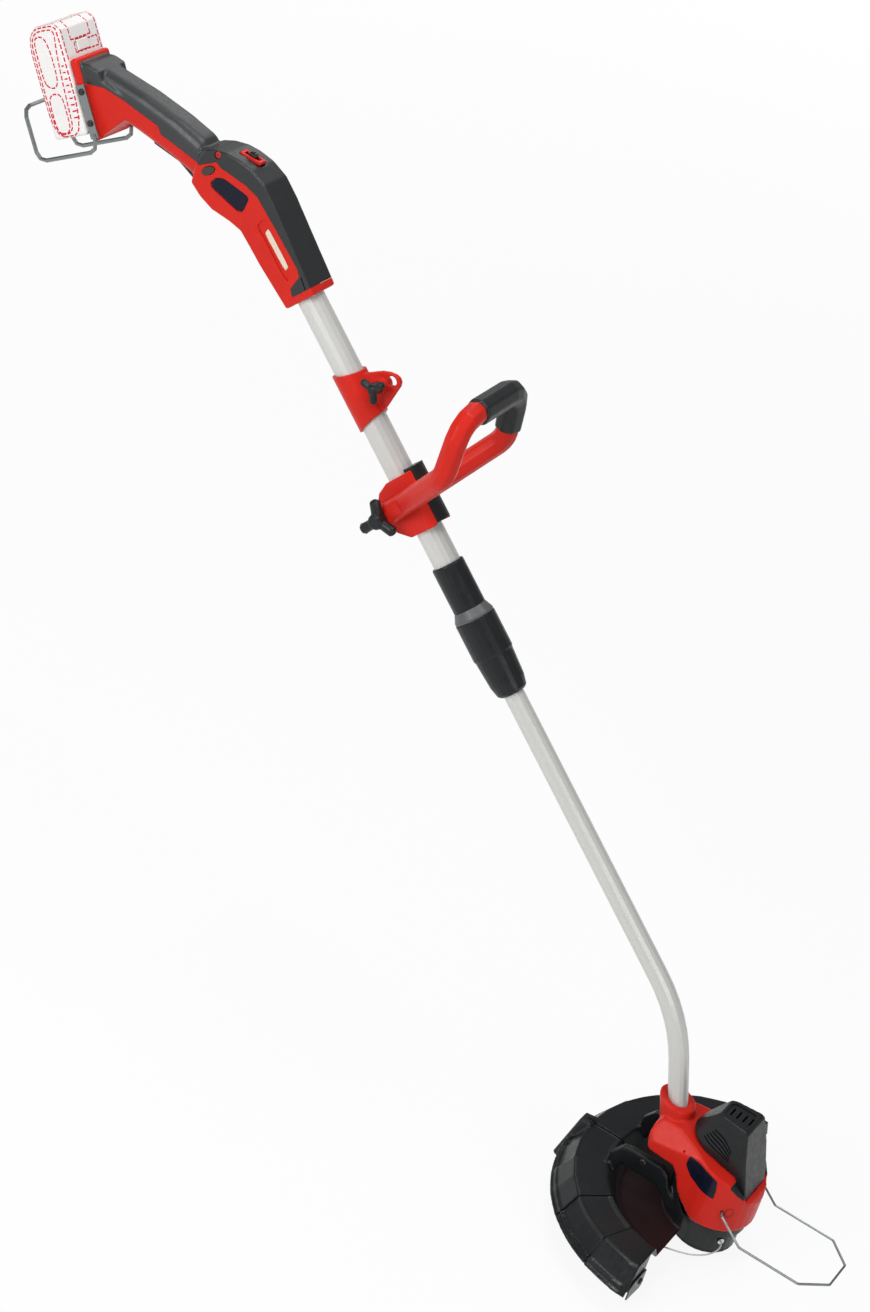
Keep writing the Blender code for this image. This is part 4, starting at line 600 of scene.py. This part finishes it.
def oval(long_half, short_half):
    """An oval round the lock's cross bar, leaning as its button does."""
    made = []
    for t in angles(40):
        a, b = long_half * math.cos(t), short_half * math.sin(t)
        made.append((LOCK[0] + a * math.cos(LOCK_LEAN) - b * math.sin(LOCK_LEAN),
                     LOCK[1] + a * math.sin(LOCK_LEAN) + b * math.cos(LOCK_LEAN)))
    return made


def dress_button():
    """The lock's cross bar with an oval cap at either end."""
    caps = [prism(oval(*CAP_OVAL), low, high) for low, high in CAP_SIDES]
    bar = prism(oval(*BAR_OVAL), -BAR_HALF, BAR_HALF)
    item = linked("lock_bar", carved(caps[0], "lock_bar", ("UNION", caps[1]), ("UNION", bar)), OLIVE)
    edge = item.modifiers.new("edges", "BEVEL")
    edge.width = 1.1 * MM
    edge.segments = 3
    edge.limit_method = "ANGLE"
    edge.angle_limit = math.radians(50)
    smooth_faces(item.data, 40)
    settle(item, "lock_button", "black_body", "lock_button")


def dress_handle():
    """The moulded handle, parted along its seams, with the sunk details of its right-hand side."""
    def sunk(points, depth):
        return "DIFFERENCE", prism(points, -40, -SIDE_Y + depth)

    def through(operation, points):
        return operation, prism(points, -BEYOND, BEYOND)

    plug = oval(*PLUG_OVAL)
    plugs = [prism(plug, -SIDE_Y - 0.2, -SIDE_Y + 2.7), prism(plug, SIDE_Y - 2.7, SIDE_Y + 0.2)]
    whole = rounded(("handle_shell_right", "handle_shell_left", "grip_rubber", "body_cover"), voxel=1.1,
                    rounds=12, grow=0.2, extra=plugs)
    label = soft_corners(HANDLE_LABEL, 0.12)
    slot = soft_corners(PALE_SLOT, 0.12)
    red = carved(whole.copy(), "handle_shells", through("DIFFERENCE", lowered(SEAM, 0.3) + SKY),
                 ("DIFFERENCE", prism(oval(*GAP_OVAL), -40, 40)), sunk(grown(label, 1.0), depth=0.9),
                 sunk(soft_corners(SLOT_RECESS, 0.2), depth=1.3), sunk(slot, depth=2.2))
    rubber = carved(whole.copy(), "grip_cover", through("INTERSECT", SEAM + SKY),
                    through("INTERSECT", RUBBER_SEAM + REAR))
    black = carved(whole.copy(), "switch_cover", through("INTERSECT", SEAM + SKY),
                   through("DIFFERENCE", [(x + 0.3, z) for x, z in RUBBER_SEAM] + REAR),
                   sunk(circle(*COVER_HOLE, radius=4.4, count=28), depth=2.0), sunk(COVER_GROOVE, depth=1.3))
    tree = surface_of(red)
    fitted("handle_shells", red, RED, 38, "root", "red_shell", "handle_shell_right", "handle_shell_left")
    fitted("grip_cover", rubber, RUBBER, 38, "root", "black_rubber", "grip_rubber")
    fitted("switch_cover", black, COVER_BLACK, 38, "root", "black_body", "body_cover")
    bpy.data.meshes.remove(whole)
    settle(plate_on("handle_label", tree, label, NAVY, raised=0.45), "root", "black_body")
    settle(plate_on("pale_insert", tree, grown(slot, -0.5), CREAM, raised=0.9), "root", "grey_plastic")
    seat = seat_at((COVER_HOLE[0], -SIDE_Y + 2.0, COVER_HOLE[1]), (0, -1, 0))
    head = [(0, 0.4), (1.6, 0.4), (1.8, 1.3), (3.4, 1.3), (4.0, 0.7), (4.0, -3), (0, -3)]
    # The screw's darker red is painted shade in its hole.
    settle(turned_piece("cover_screw", head, seat, HOLE_SHADE_RED), "root", "black_screw")


# Battery

# The dock's own frame, as the part's source places it.
DOCK_ORIGIN = Vector((-1.09991, 0.0, 0.97652))
DOCK_OUT = Vector((0.84245, 0.0, 0.53877))
DOCK_UP = Vector((-0.53877, 0.0, 0.84245))


def on_dock(out, y, up):
    """A point in mm from the dock's own frame: out of the dock's face, across, and up along it."""
    return DOCK_ORIGIN + DOCK_OUT * (out * MM) + Vector((0, y * MM, 0)) + DOCK_UP * (up * MM)


BATTERY_SIDE = 35.0  # half of the pack's width
BATTERY_EDGE = 30.5  # where its faces' long edges start to turn
POCKET_HALF = 10.8
# Outlines as (out, up) in mm in the dock's frame: the latch's pocket, then what is printed on either side.
LATCH_POCKET = [(-14.6, 57.2), (-5.0, 57.2), (-5.0, 70.8), (-14.6, 70.8)]
SIDE_OUTLINES = (
    ([(-52, -29), (-10, -29), (-8.5, 88), (-14, 92.5), (-40, 92.5), (-49, 84), (-52, 70)], 0.2),
    ([(-49, -26), (-23.5, -26), (-21.5, 14), (-17.5, 60), (-13, 84), (-17, 89), (-38, 89), (-46, 82),
      (-49, 68)], 0.2),
    ([(-45.5, 33), (-39, 26), (-31, 26), (-26, 33), (-25, 64), (-29, 82), (-40, 84), (-45, 76)], 0.22),
    ([(-46, -25), (-27, -25), (-26, 12), (-31, 19), (-41, 19), (-46.5, 12)], 0.2))
RIBS = 9  # short lines beside the dock's edge, and how far they stand apart
RIB_PITCH = 7.2
EDGE_PATHS = ([(-7, 53), (-7, 84), (-13, 93), (-38, 94), (-50, 84), (-54, 68)], [(-54, 68), (-54, -28)])
# Lines across the pack, as (out, y, up): its front face, its top, its back and its foot.
CROSS_PATHS = (
    ((-7, -18, 72), (-7, 17, 72)),
    ((-7, -18, 72), (-7, -18, 86), (-14, -17, 93.5), (-16, -16, 94)),
    ((-7, 17, 72), (-7, 17, 86), (-14, 16, 93.5), (-16, 15, 94)),
    ((-17, -16, 94), (-17, 15, 94)),
    ((-7, -14, 57), (-7, -14, 68), (-7, 27, 68), (-7, 27, 57), (-7, -14, 57)),
    ((-54, -28, 0), (-54, 28, 0)),
    ((-14, -28, -31), (-50, -28, -31), (-50, 28, -31), (-14, 28, -31)))


def dress_battery():
    """The pack's white case, its latch's pocket and the dashed lines printed on it."""
    pocket = [(p.x / MM, p.z / MM) for p in (on_dock(out, 0, up) for out, up in LATCH_POCKET)]
    pack = carved(rounded(("battery_pack",), voxel=0.9, rounds=10, grow=0.15), "battery_case",
                  ("DIFFERENCE", prism(pocket, -POCKET_HALF, POCKET_HALF)))
    tree = surface_of(pack)
    fitted("battery_case", pack, WHITE, 45, "battery", "battery_white", "battery_pack")
    paths = []
    for y in (-BATTERY_SIDE, BATTERY_SIDE):
        for outline, share in SIDE_OUTLINES:
            outline = soft_corners(outline, share)
            paths.append([on_dock(out, y, up) for out, up in outline + outline[:1]])
        for k in range(RIBS):
            up = -10 + RIB_PITCH * k
            paths.append([on_dock(-17.6 + 0.05 * up, y, up), on_dock(-12.0, y, up)])
    for y in (-BATTERY_EDGE, BATTERY_EDGE):
        paths += [[on_dock(out, y, up) for out, up in path] for path in EDGE_PATHS]
    paths += [[on_dock(*point) for point in path] for path in CROSS_PATHS]
    lines = dashed("battery_lines", tree, paths, RED_LINE, dash=5.2, space=2.0, width=1.7)
    settle(lines, "battery", "red_shell")


# Head

# Outlines on the housing in x and z in mm; the last is the hood's foot on its rim.
HEAD_LABEL = [(-34.6, 140.2), (-21.5, 138.4), (-7.5, 136.0), (6.5, 131.4), (8.8, 118.9), (9.6, 104.6),
              (-9.0, 108.0), (-24.6, 113.4), (-35.4, 126.5)]
LIP = [(22.3, 127.3), (38.8, 110.8), (38.8, 150.0), (22.3, 150.0)]
LIP_GAP = 0.15
HEAD_SIDE = 70  # past either side of the head
PIPS = ((-43.0, 138.9), (-81.0, 141.0))  # two small blind holes beside the label
WIRE_HOLE = (30.2, 91.3)  # where the plant guard's wire goes in
WIRE_RING = (3.9, 6.6)  # half of the ring's width and height
RING_RUNS = 40
# Three points of the hood's top slot in x and z in mm, each with the same point of the lowest slot.
HOOD_SLOTS = (((-23.5, 174.5), (-32.2, 160.9)), ((-9.1, 171.0), (-12.7, 154.5)),
              ((4.2, 159.7), (5.9, 147.5)))
SLOTS = 5
SLOT_HALF = 0.85  # half of a slot's width
SLOT_SIDES = ((-60, -15), (15, 60))  # from where to where the slots cut in y
HOOD_PLATE = [(-24, -14), (5, -14), (7, -10), (7, 10), (5, 14), (-24, 14)]  # sunk in its top, (x, y)
HOOD_PLATE_Z = 190.4


def dress_head():
    """The red housing with its label, and the part of its rim that is the hood's foot."""
    whole = rounded(("head_housing_right", "head_housing_left"), voxel=1.1, rounds=15, grow=0.35)
    pips = [("DIFFERENCE", prism(circle(x, z, 1.6, 16), -HEAD_SIDE, -41)) for x, z in PIPS]
    foot = carved(whole.copy(), "hood_foot", ("INTERSECT", prism(LIP, -HEAD_SIDE, HEAD_SIDE)))
    gap = prism(lowered(LIP, LIP_GAP), -HEAD_SIDE, HEAD_SIDE)
    housing = carved(whole, "head_housing", *pips, ("DIFFERENCE", gap))
    fitted("hood_foot", foot, BLACK, 40, "lower", "black_body")
    tree = surface_of(housing)
    fitted("head_housing", housing, RED, 40, "lower", "red_shell", "head_housing_right", "head_housing_left")
    label = soft_corners(HEAD_LABEL, 0.14)
    settle(plate_on("head_label", tree, label, NAVY, raised=0.5, rings=14), "lower", "black_body")
    # A low ridge round the wire hole, in painted shade: its dark red stands in for the shade round the boss
    # there.
    spots = []
    normals = []
    for k in range(RING_RUNS + 1):
        turn = 2 * math.pi * k / RING_RUNS
        spot = near_side(WIRE_HOLE[0] + WIRE_RING[0] * math.cos(turn),
                         WIRE_HOLE[1] + WIRE_RING[1] * math.sin(turn))
        hit, normal, _, _ = tree.ray_cast(spot, INWARD)
        spots.append(hit)
        normals.append(normal)
    shape = bmesh.new()
    ribbon(shape, spots, normals, width=1.2, raised=0.35, sunk=0.6)
    bmesh.ops.recalc_face_normals(shape, faces=shape.faces)
    fitted("pivot_ring", from_shape("pivot_ring", shape), PAINTED_SHADE_RED, 50, "lower", "red_shell")


def dress_cover():
    """The motor's hood with its cooling slots on either side."""
    steps = []
    for k in range(SLOTS):
        share = k / (SLOTS - 1)
        path = [tuple(a + (b - a) * share for a, b in zip(*ends)) for ends in HOOD_SLOTS]
        line = dense(soft_corners(path, 0.25, 3, False), 2.0, False)
        slot = [(x, z + SLOT_HALF) for x, z in line] + [(x, z - SLOT_HALF) for x, z in line[::-1]]
        steps += [("DIFFERENCE", prism(slot, *side)) for side in SLOT_SIDES]
    steps.append(("DIFFERENCE", prism(soft_corners(HOOD_PLATE, 0.15), HOOD_PLATE_Z, 200, "z")))
    cover = carved(rounded(("motor_cover",), voxel=0.8, rounds=6, grow=0.1), "motor_hood", *steps)
    fitted("motor_hood", cover, BLACK, 38, "lower", "black_body", "motor_cover")


# Guard

SKIRT_FROM = 90.0  # degrees from +X at which the guard's skirt starts; it ends at 270
PANEL = 22.5  # degrees from one seam to the next
PANELS = 8
# Beads on the guard's rims: radius, height and half thickness in mm, first and last angle in degrees.
BEADS = ((187.6, 34.8, 1.5, 96, 264), (184.2, 42.0, 1.0, 96, 264), (129.0, 66.6, 1.7, 96, 264),
         (168.5, 66.2, 1.2, 96, 264), (110.0, 45.6, 1.0, 98, 262))
SEAM_ABOVE = 8.0  # mm by which a seam's blade stands above the surface
# The floor found here gets the painted reflection of the red housing.
FLOOR_RADIUS = 0.111  # metres: faces that look up within it and below the top are the floor
FLOOR_TOP = 0.0475


def guard_outside(raised, lift):
    """(radius, z) in mm along the guard's upper side, from the inner rim out to the skirt's edge."""
    top = 66.0 + raised + lift
    return [(124.0, 60.0 + lift), (128.0, top), (167.0 + raised + lift * 0.6, top),
            (187.0 + raised + lift, 31.0)]


def guard_seam(angle, width, depth):
    """A thin blade that scores the guard's upper side along one radius."""
    low = guard_outside(1.0, -depth)
    high = guard_outside(1.0, SEAM_ABOVE)
    shape = bmesh.new()
    turn = math.radians(angle)
    out = Vector((math.cos(turn), math.sin(turn), 0))
    side = Vector((-math.sin(turn), math.cos(turn), 0)) * (width * MM / 2)
    rows = []
    for sign in (-1, 1):
        rows.append([shape.verts.new(out * (r * MM) + Vector((0, 0, z * MM)) + side * sign)
                     for r, z in low + high[::-1]])
    bridge(shape, rows)
    count = len(rows[0])
    for row in rows:
        for i in range(len(low) - 1):
            shape.faces.new((row[i], row[i + 1], row[count - 2 - i], row[count - 1 - i]))
    bmesh.ops.recalc_face_normals(shape, faces=shape.faces)
    return from_shape("guard_seam", shape)


def ring_arc(radius, z, thick, start, end, steps=60):
    """A bead round the spool's axis, from one angle in degrees to another."""
    points = []
    for k in range(steps + 1):
        turn = math.radians(start + (end - start) * k / steps)
        points.append((radius * MM * math.cos(turn), radius * MM * math.sin(turn), z * MM))
    return tube_along(points, thick)


def dress_guard():
    """The guard with its rim beads and the seams between its panels; the floor inside is duller, and painted
    dark red-brown as the red housing's reflection.
    """
    shape = rounded(("guard",), voxel=1.5, rounds=3, grow=0.1, extra=[ring_arc(*bead) for bead in BEADS])
    seams = [guard_seam(SKIRT_FROM + PANEL * k, width=1.7, depth=1.1) for k in range(1, PANELS)]
    guard = carved(shape, "line_guard", *(("DIFFERENCE", seam) for seam in seams))
    smooth_faces(guard, 40)
    item = linked("line_guard", guard, GLOSS_BLACK)
    guard.materials.append(FLOOR_RED_REFLECTION)
    # The floor's upward faces get the painted reflection of the red housing.
    for face in guard.polygons:
        middle = face.center
        if math.hypot(middle.x, middle.y) < FLOOR_RADIUS and middle.z < FLOOR_TOP and face.normal.z > 0.5:
            face.material_index = 1
    settle(item, "lower", "black_body", "guard")


# Second handle and clamps

SHAFT_ACROSS = (0.669, 0.743)  # (x, z) of the shaft frame's own x axis
SHAFT_ALONG = (-0.743, 0.669)  # and of its z axis, which runs up along the tube
LOBE_RUNS = 12
LOBE_WAIST = 0.86  # a wing's thickness at its root, as a share
LOBE_TIP = 0.4  # mm


def lobes(place, first, root, reach, thick):
    """Three rounded wings round a knob's axis, which runs along y; first is in degrees, the rest in mm."""
    x, y, z = place
    made = []
    for k in range(3):
        turn = math.radians(first + 120 * k)
        across = [math.cos(turn) * a + math.sin(turn) * b for a, b in zip(SHAFT_ACROSS, SHAFT_ALONG)]
        spots = []
        sizes = []
        for i in range(LOBE_RUNS + 1):
            share = i / LOBE_RUNS
            far = root + (reach + thick - root) * share
            spots.append(Vector(((x + across[0] * far) * MM, y * MM, (z + across[1] * far) * MM)))
            beyond = max(0.0, (far - reach) / thick)             # along the round tip
            waist = LOBE_WAIST + (1 - LOBE_WAIST) * share
            sizes.append(max(LOBE_TIP, thick * waist * math.sqrt(max(0.0, 1 - beyond * beyond))))
        made.append(tube_along(spots, sizes, 16))
    return made


def dress_aux():
    """The second handle, its clamps and knobs, and the trigger, which is rounded in the same way."""
    frame_mesh = rounded(("aux_frame",), voxel=0.95, rounds=26, grow=0.5)
    fitted("loop_frame", frame_mesh, RED, 50, "aux_handle", "red_shell", "aux_frame")
    grip_mesh = rounded(("aux_grip",), voxel=1.0, rounds=32, grow=0.7)
    fitted("loop_grip", grip_mesh, AUX_RUBBER, 50, "aux_handle", "black_rubber", "aux_grip")
    knob_wings = lobes((-618.85, -48.3, 692.9), first=65, root=2, reach=19, thick=6.6)
    screw_wings = lobes((-678.66, -19.3, 820.75), first=120, root=1, reach=12.5, thick=4.8)
    for name, new_name, body, look, slot, rounds, extra in (
            ("aux_clamp_rear", "clamp_rear", "root", RED, "red_shell", 5, ()),
            ("aux_clamp_front", "clamp_front", "root", BLACK, "black_body", 5, ()),
            ("aux_knob", "clamp_knob", "aux_knob", BLACK, "black_body", 6, knob_wings),
            ("strap_clamp", "strap_bracket", "strap_clamp", RED, "red_shell", 4, ()),
            ("strap_screw", "strap_wing", "strap_screw", BLACK, "black_body", 5, screw_wings),
            ("trigger", "trigger_lever", "trigger", BLACK, "black_body", 5, ())):
        mesh = rounded((name,), voxel=0.6, rounds=rounds, grow=0.1, extra=extra)
        fitted(new_name, mesh, look, 50, body, slot, name)


# Cutting line

LINE_DIAMETER = 2.0  # mm
LINE_POINTS = 60
ROUTE_RUNS = 20  # fine steps from each point of the route to the next
LINE_ROUTE = [(31.2, -26.0, 36), (34.5, -34, 35.5), (33, -46, 35), (25.5, -59, 34.5), (12.5, -70, 34),
              (-6, -78, 33.5), (-28, -84, 32.5), (-50, -91, 31.5), (-70, -100, 30.5)]


def smooth_route(points, count):
    """Evenly spaced points on a smooth curve through the route."""
    points = [Vector(p) * MM for p in points]
    fine = []
    for i in range(len(points) - 1):
        before = points[max(i - 1, 0)]
        after = points[min(i + 2, len(points) - 1)]
        here, there = points[i], points[i + 1]
        for k in range(ROUTE_RUNS):
            t = k / ROUTE_RUNS
            bend = 2 * before - 5 * here + 4 * there - after
            twist = 3 * here - before - 3 * there + after
            fine.append(0.5 * ((2 * here) + (there - before) * t + bend * t * t + twist * t ** 3))
    fine.append(points[-1])
    lengths = [0.0]
    for first, second in zip(fine, fine[1:]):
        lengths.append(lengths[-1] + (second - first).length)
    spaced = []
    for k in range(count):
        want = lengths[-1] * k / (count - 1)
        j = max(i for i in range(len(fine)) if lengths[i] <= want + 1e-12)
        j = min(j, len(fine) - 2)
        share = (want - lengths[j]) / (lengths[j + 1] - lengths[j])
        spaced.append(fine[j].lerp(fine[j + 1], share))
    return spaced


def lay_line():
    """The free end of the cutting line, from the spool's eyelet towards the cutter on the guard."""
    points = smooth_route(LINE_ROUTE, LINE_POINTS)
    curve = bpy.data.curves.new("free_line", "CURVE")
    curve.dimensions = "3D"
    curve.bevel_depth = LINE_DIAMETER * MM / 2
    curve.bevel_resolution = 3
    curve.use_fill_caps = True
    strand = curve.splines.new("POLY")
    strand.points.add(len(points) - 1)
    for spot, point in zip(strand.points, points):
        spot.co = (*point, 1.0)
    strand.use_smooth = True
    curve.materials.append(NYLON)
    item = bpy.data.objects.new("free_line", curve)
    bpy.context.scene.collection.objects.link(item)
    settle(item, "spool", "line_nylon", "cutting_line")


def coil(name, centre, radius, low, high, turns, wire, body, node):
    """A coil spring along z, in mm, that rides on a body."""
    steps = turns * 24
    points = []
    for k in range(steps + 1):
        turn = 2 * math.pi * turns * k / steps
        height = low + wire + (high - low - 2 * wire) * k / steps
        points.append(Vector(((centre[0] + radius * math.cos(turn)) * MM,
                              (centre[1] + radius * math.sin(turn)) * MM, height * MM)))
    item = fitted(name, tube_along(points, wire, 8), STEEL, 50, body, "bright_steel", node)
    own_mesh(item)


# The slider's thumb piece, as two corners of each block in mm: its base and three ridges across it.
THUMB_BLOCKS = (((-4.9, -3.1, -2.9), (4.9, 3.1, 4.0)), ((-3.6, -2.6, 3.5), (-1.8, 2.6, 6.2)),
                ((-0.9, -2.6, 3.5), (0.9, 2.6, 6.8)), ((1.8, -2.6, 3.5), (3.6, 2.6, 6.2)))


THUMB_PLACE = (COLLAR[0] - 109.0, 0.0, COLLAR[1] + 121.0)
THUMB_LEAN = math.radians(3.0)


def dress_slider():
    """The speed slider's thumb piece, square to the slope of the slider's frame."""
    seat = Matrix.Translation(Vector(THUMB_PLACE) * MM) @ Matrix.Rotation(THUMB_LEAN, 4, "Y")
    shape = bmesh.new()
    for low, high in THUMB_BLOCKS:
        for vertex in bmesh.ops.create_cube(shape, size=1.0)["verts"]:
            place = [a + (b - a) * (c + 0.5) for a, b, c in zip(low, high, vertex.co)]
            vertex.co = seat @ (Vector(place) * MM)
    item = linked("slider_thumb", from_shape("slider_thumb", shape), None)
    voxel_remesh(item, voxel=0.25, rounds=4)
    fitted("slider_thumb", evaluated(item, "slider_thumb"), SCREW_BLACK, 50, "speed_slider", "black_body",
           "speed_slider")


coil("knob_spring", centre=(0, 0), radius=10.2, low=28.3, high=55.2, turns=6, wire=0.7, body="spool",
     node="bump_spring")
coil("lever_spring", centre=(-985.9, 0), radius=2.7, low=971.3, high=982.1, turns=6, wire=0.45, body="root",
     node="trigger_spring")
dress_slider()
dress_button()
dress_handle()
dress_battery()
dress_head()
dress_cover()
dress_guard()
dress_aux()
lay_line()


# Floor, light and camera

FLOOR_HALF = 20.0  # metres from the floor's middle to its edges
FLOOR_GAP = 0.0005  # metres between it and the part
FLOOR_GREY = 0.86  # of the light that falls on the floor, what it gives back
FLOOR_SHARE = 0.9  # share of plain white in what the camera sees of the floor
FADE_FROM, FADE_TO = 1.2, 4.0  # metres from the origin over which that share grows to 1
AROUND = 0.30  # strength of the even light from all around
LIGHTS = (  # place and target in metres, size in metres, power in watts
    ("key", (-1.3, -2.6, 2.3), (-0.45, 0, 0.5), 1.7, 62),
    ("top", (-0.55, 0.1, 3.6), (-0.5, 0, 0.6), 1.3, 34),
    ("rim", (-1.36, 1.06, 1.78), (-1.0, 0, 1.0), 0.9, 4),
    ("side", (2.2, -1.2, 1.5), (-0.3, 0, 0.4), 1.2, 17))
# The camera, as solved from the photograph; the lens is for a 36 mm frame over the photograph's long side.
IMAGE_LENS = 85.45
CAMERA_RIGHT = Vector((0.82380734, 0.51525562, 0.23633264))
CAMERA_DOWN = Vector((0.46425078, -0.37400976, -0.80286232))
CAMERA_AHEAD = Vector((-0.32528861, 0.77112149, -0.54731981))
CAMERA_PLACE = Vector((0.61203, -2.70251, 2.45681))


def computed(tree, operation, first, second):
    """The result of a sum with two values."""
    made = tree.nodes.new("ShaderNodeMath")
    made.operation = operation
    tree.links.new(first, made.inputs[0])
    tree.links.new(second, made.inputs[1])
    return made.outputs[0]


def build_floor():
    """A floor that takes the part's shadow, and is nearly plain white to the camera and in reflections."""
    shape = bmesh.new()
    bmesh.ops.create_grid(shape, x_segments=1, y_segments=1, size=FLOOR_HALF)
    made = bpy.data.materials.new("floor_white")
    floor = linked("floor", from_shape("floor", shape), made)
    floor.location.z = min(cad_low.z, 0.0) - FLOOR_GAP
    made.use_nodes = True
    tree = made.node_tree
    tree.nodes.clear()
    output = tree.nodes.new("ShaderNodeOutputMaterial")
    plain = tree.nodes.new("ShaderNodeBsdfDiffuse")
    plain.inputs["Color"].default_value = (FLOOR_GREY, FLOOR_GREY, FLOOR_GREY, 1)
    lit = tree.nodes.new("ShaderNodeEmission")
    lit.inputs["Color"].default_value = (1, 1, 1, 1)
    lit.inputs["Strength"].default_value = 1.0
    spot = tree.nodes.new("ShaderNodeTexCoord")
    reach = tree.nodes.new("ShaderNodeVectorMath")
    reach.operation = "LENGTH"
    fade = tree.nodes.new("ShaderNodeMapRange")
    fade.inputs["From Min"].default_value = FADE_FROM
    fade.inputs["From Max"].default_value = FADE_TO
    fade.inputs["To Min"].default_value = FLOOR_SHARE
    tree.links.new(spot.outputs["Object"], reach.inputs[0])
    tree.links.new(reach.outputs["Value"], fade.inputs["Value"])
    rays = tree.nodes.new("ShaderNodeLightPath")
    seen = rays.outputs["Is Camera Ray"]
    for kind in ("Is Glossy Ray", "Is Transmission Ray"):
        seen = computed(tree, "MAXIMUM", seen, rays.outputs[kind])
    mix = tree.nodes.new("ShaderNodeMixShader")
    tree.links.new(computed(tree, "MULTIPLY", seen, fade.outputs["Result"]), mix.inputs["Fac"])
    tree.links.new(plain.outputs["BSDF"], mix.inputs[1])
    tree.links.new(lit.outputs["Emission"], mix.inputs[2])
    tree.links.new(mix.outputs["Shader"], output.inputs["Surface"])


def build_world():
    """Even light from all around, with a plain white background behind it."""
    world = bpy.data.worlds.new("studio")
    bpy.context.scene.world = world
    world.use_nodes = True
    tree = world.node_tree
    tree.nodes.clear()
    output = tree.nodes.new("ShaderNodeOutputWorld")
    back = tree.nodes.new("ShaderNodeBackground")
    back.inputs["Color"].default_value = (1, 1, 1, 1)
    rays = tree.nodes.new("ShaderNodeLightPath")
    level = tree.nodes.new("ShaderNodeMapRange")
    level.inputs["To Min"].default_value = AROUND
    level.inputs["To Max"].default_value = 1.0
    tree.links.new(rays.outputs["Is Camera Ray"], level.inputs["Value"])
    tree.links.new(level.outputs["Result"], back.inputs["Strength"])
    tree.links.new(back.outputs["Background"], output.inputs["Surface"])


def area_light(name, place, target, size, power):
    """A round lamp that shines from a place at a target."""
    data = bpy.data.lights.new(name, "AREA")
    data.shape = "DISK"
    data.size = size
    data.energy = power
    lamp = bpy.data.objects.new(name, data)
    bpy.context.scene.collection.objects.link(lamp)
    lamp.location = place
    lamp.rotation_mode = "QUATERNION"
    lamp.rotation_quaternion = (Vector(target) - Vector(place)).to_track_quat("-Z", "Y")


def build_camera():
    """The camera that took the photograph."""
    data = bpy.data.cameras.new("camera")
    data.lens = IMAGE_LENS
    data.sensor_fit = "AUTO"
    data.sensor_width = 36.0
    data.clip_start = 0.05
    data.clip_end = 60.0
    camera = bpy.data.objects.new("camera", data)
    bpy.context.scene.collection.objects.link(camera)
    turn = Matrix((CAMERA_RIGHT, -CAMERA_DOWN, -CAMERA_AHEAD)).transposed().to_4x4()
    camera.matrix_world = Matrix.Translation(CAMERA_PLACE) @ turn
    bpy.context.scene.camera = camera


build_floor()
build_world()
build_camera()
for lamp in LIGHTS:
    area_light(*lamp)
bpy.context.scene.view_settings.view_transform = "Standard"


# Solids that stay as they are, but for their edges

# Width of the rounding in mm.
EDGES = {"coupling_nut": 0.6, "coupling_sleeve": 0.6, "coupling_ring": 0.5, "upper_tube": 0.5,
         "lower_tube": 0.5, "spool_cup": 0.7, "spool_cap": 0.6, "bump_knob": 0.7, "battery_latch": 0.5,
         "slider_frame": 0.3}
SHARP_FROM = 32.0  # degrees between two faces from which an edge is rounded


def soften(item, width):
    """Rounds a node's sharp edges and shades its faces smooth, as a moulded or drawn piece has them."""
    weld = item.modifiers.new("weld", "WELD")
    weld.merge_threshold = WELD
    edge = item.modifiers.new("edges", "BEVEL")
    edge.width = width * MM
    edge.segments = 2
    edge.limit_method = "ANGLE"
    edge.angle_limit = math.radians(SHARP_FROM)
    edge.use_clamp_overlap = True
    weighted = item.modifiers.new("normals", "WEIGHTED_NORMAL")
    weighted.keep_sharp = True


for node_name, width in EDGES.items():
    soften(NODES[node_name], width)
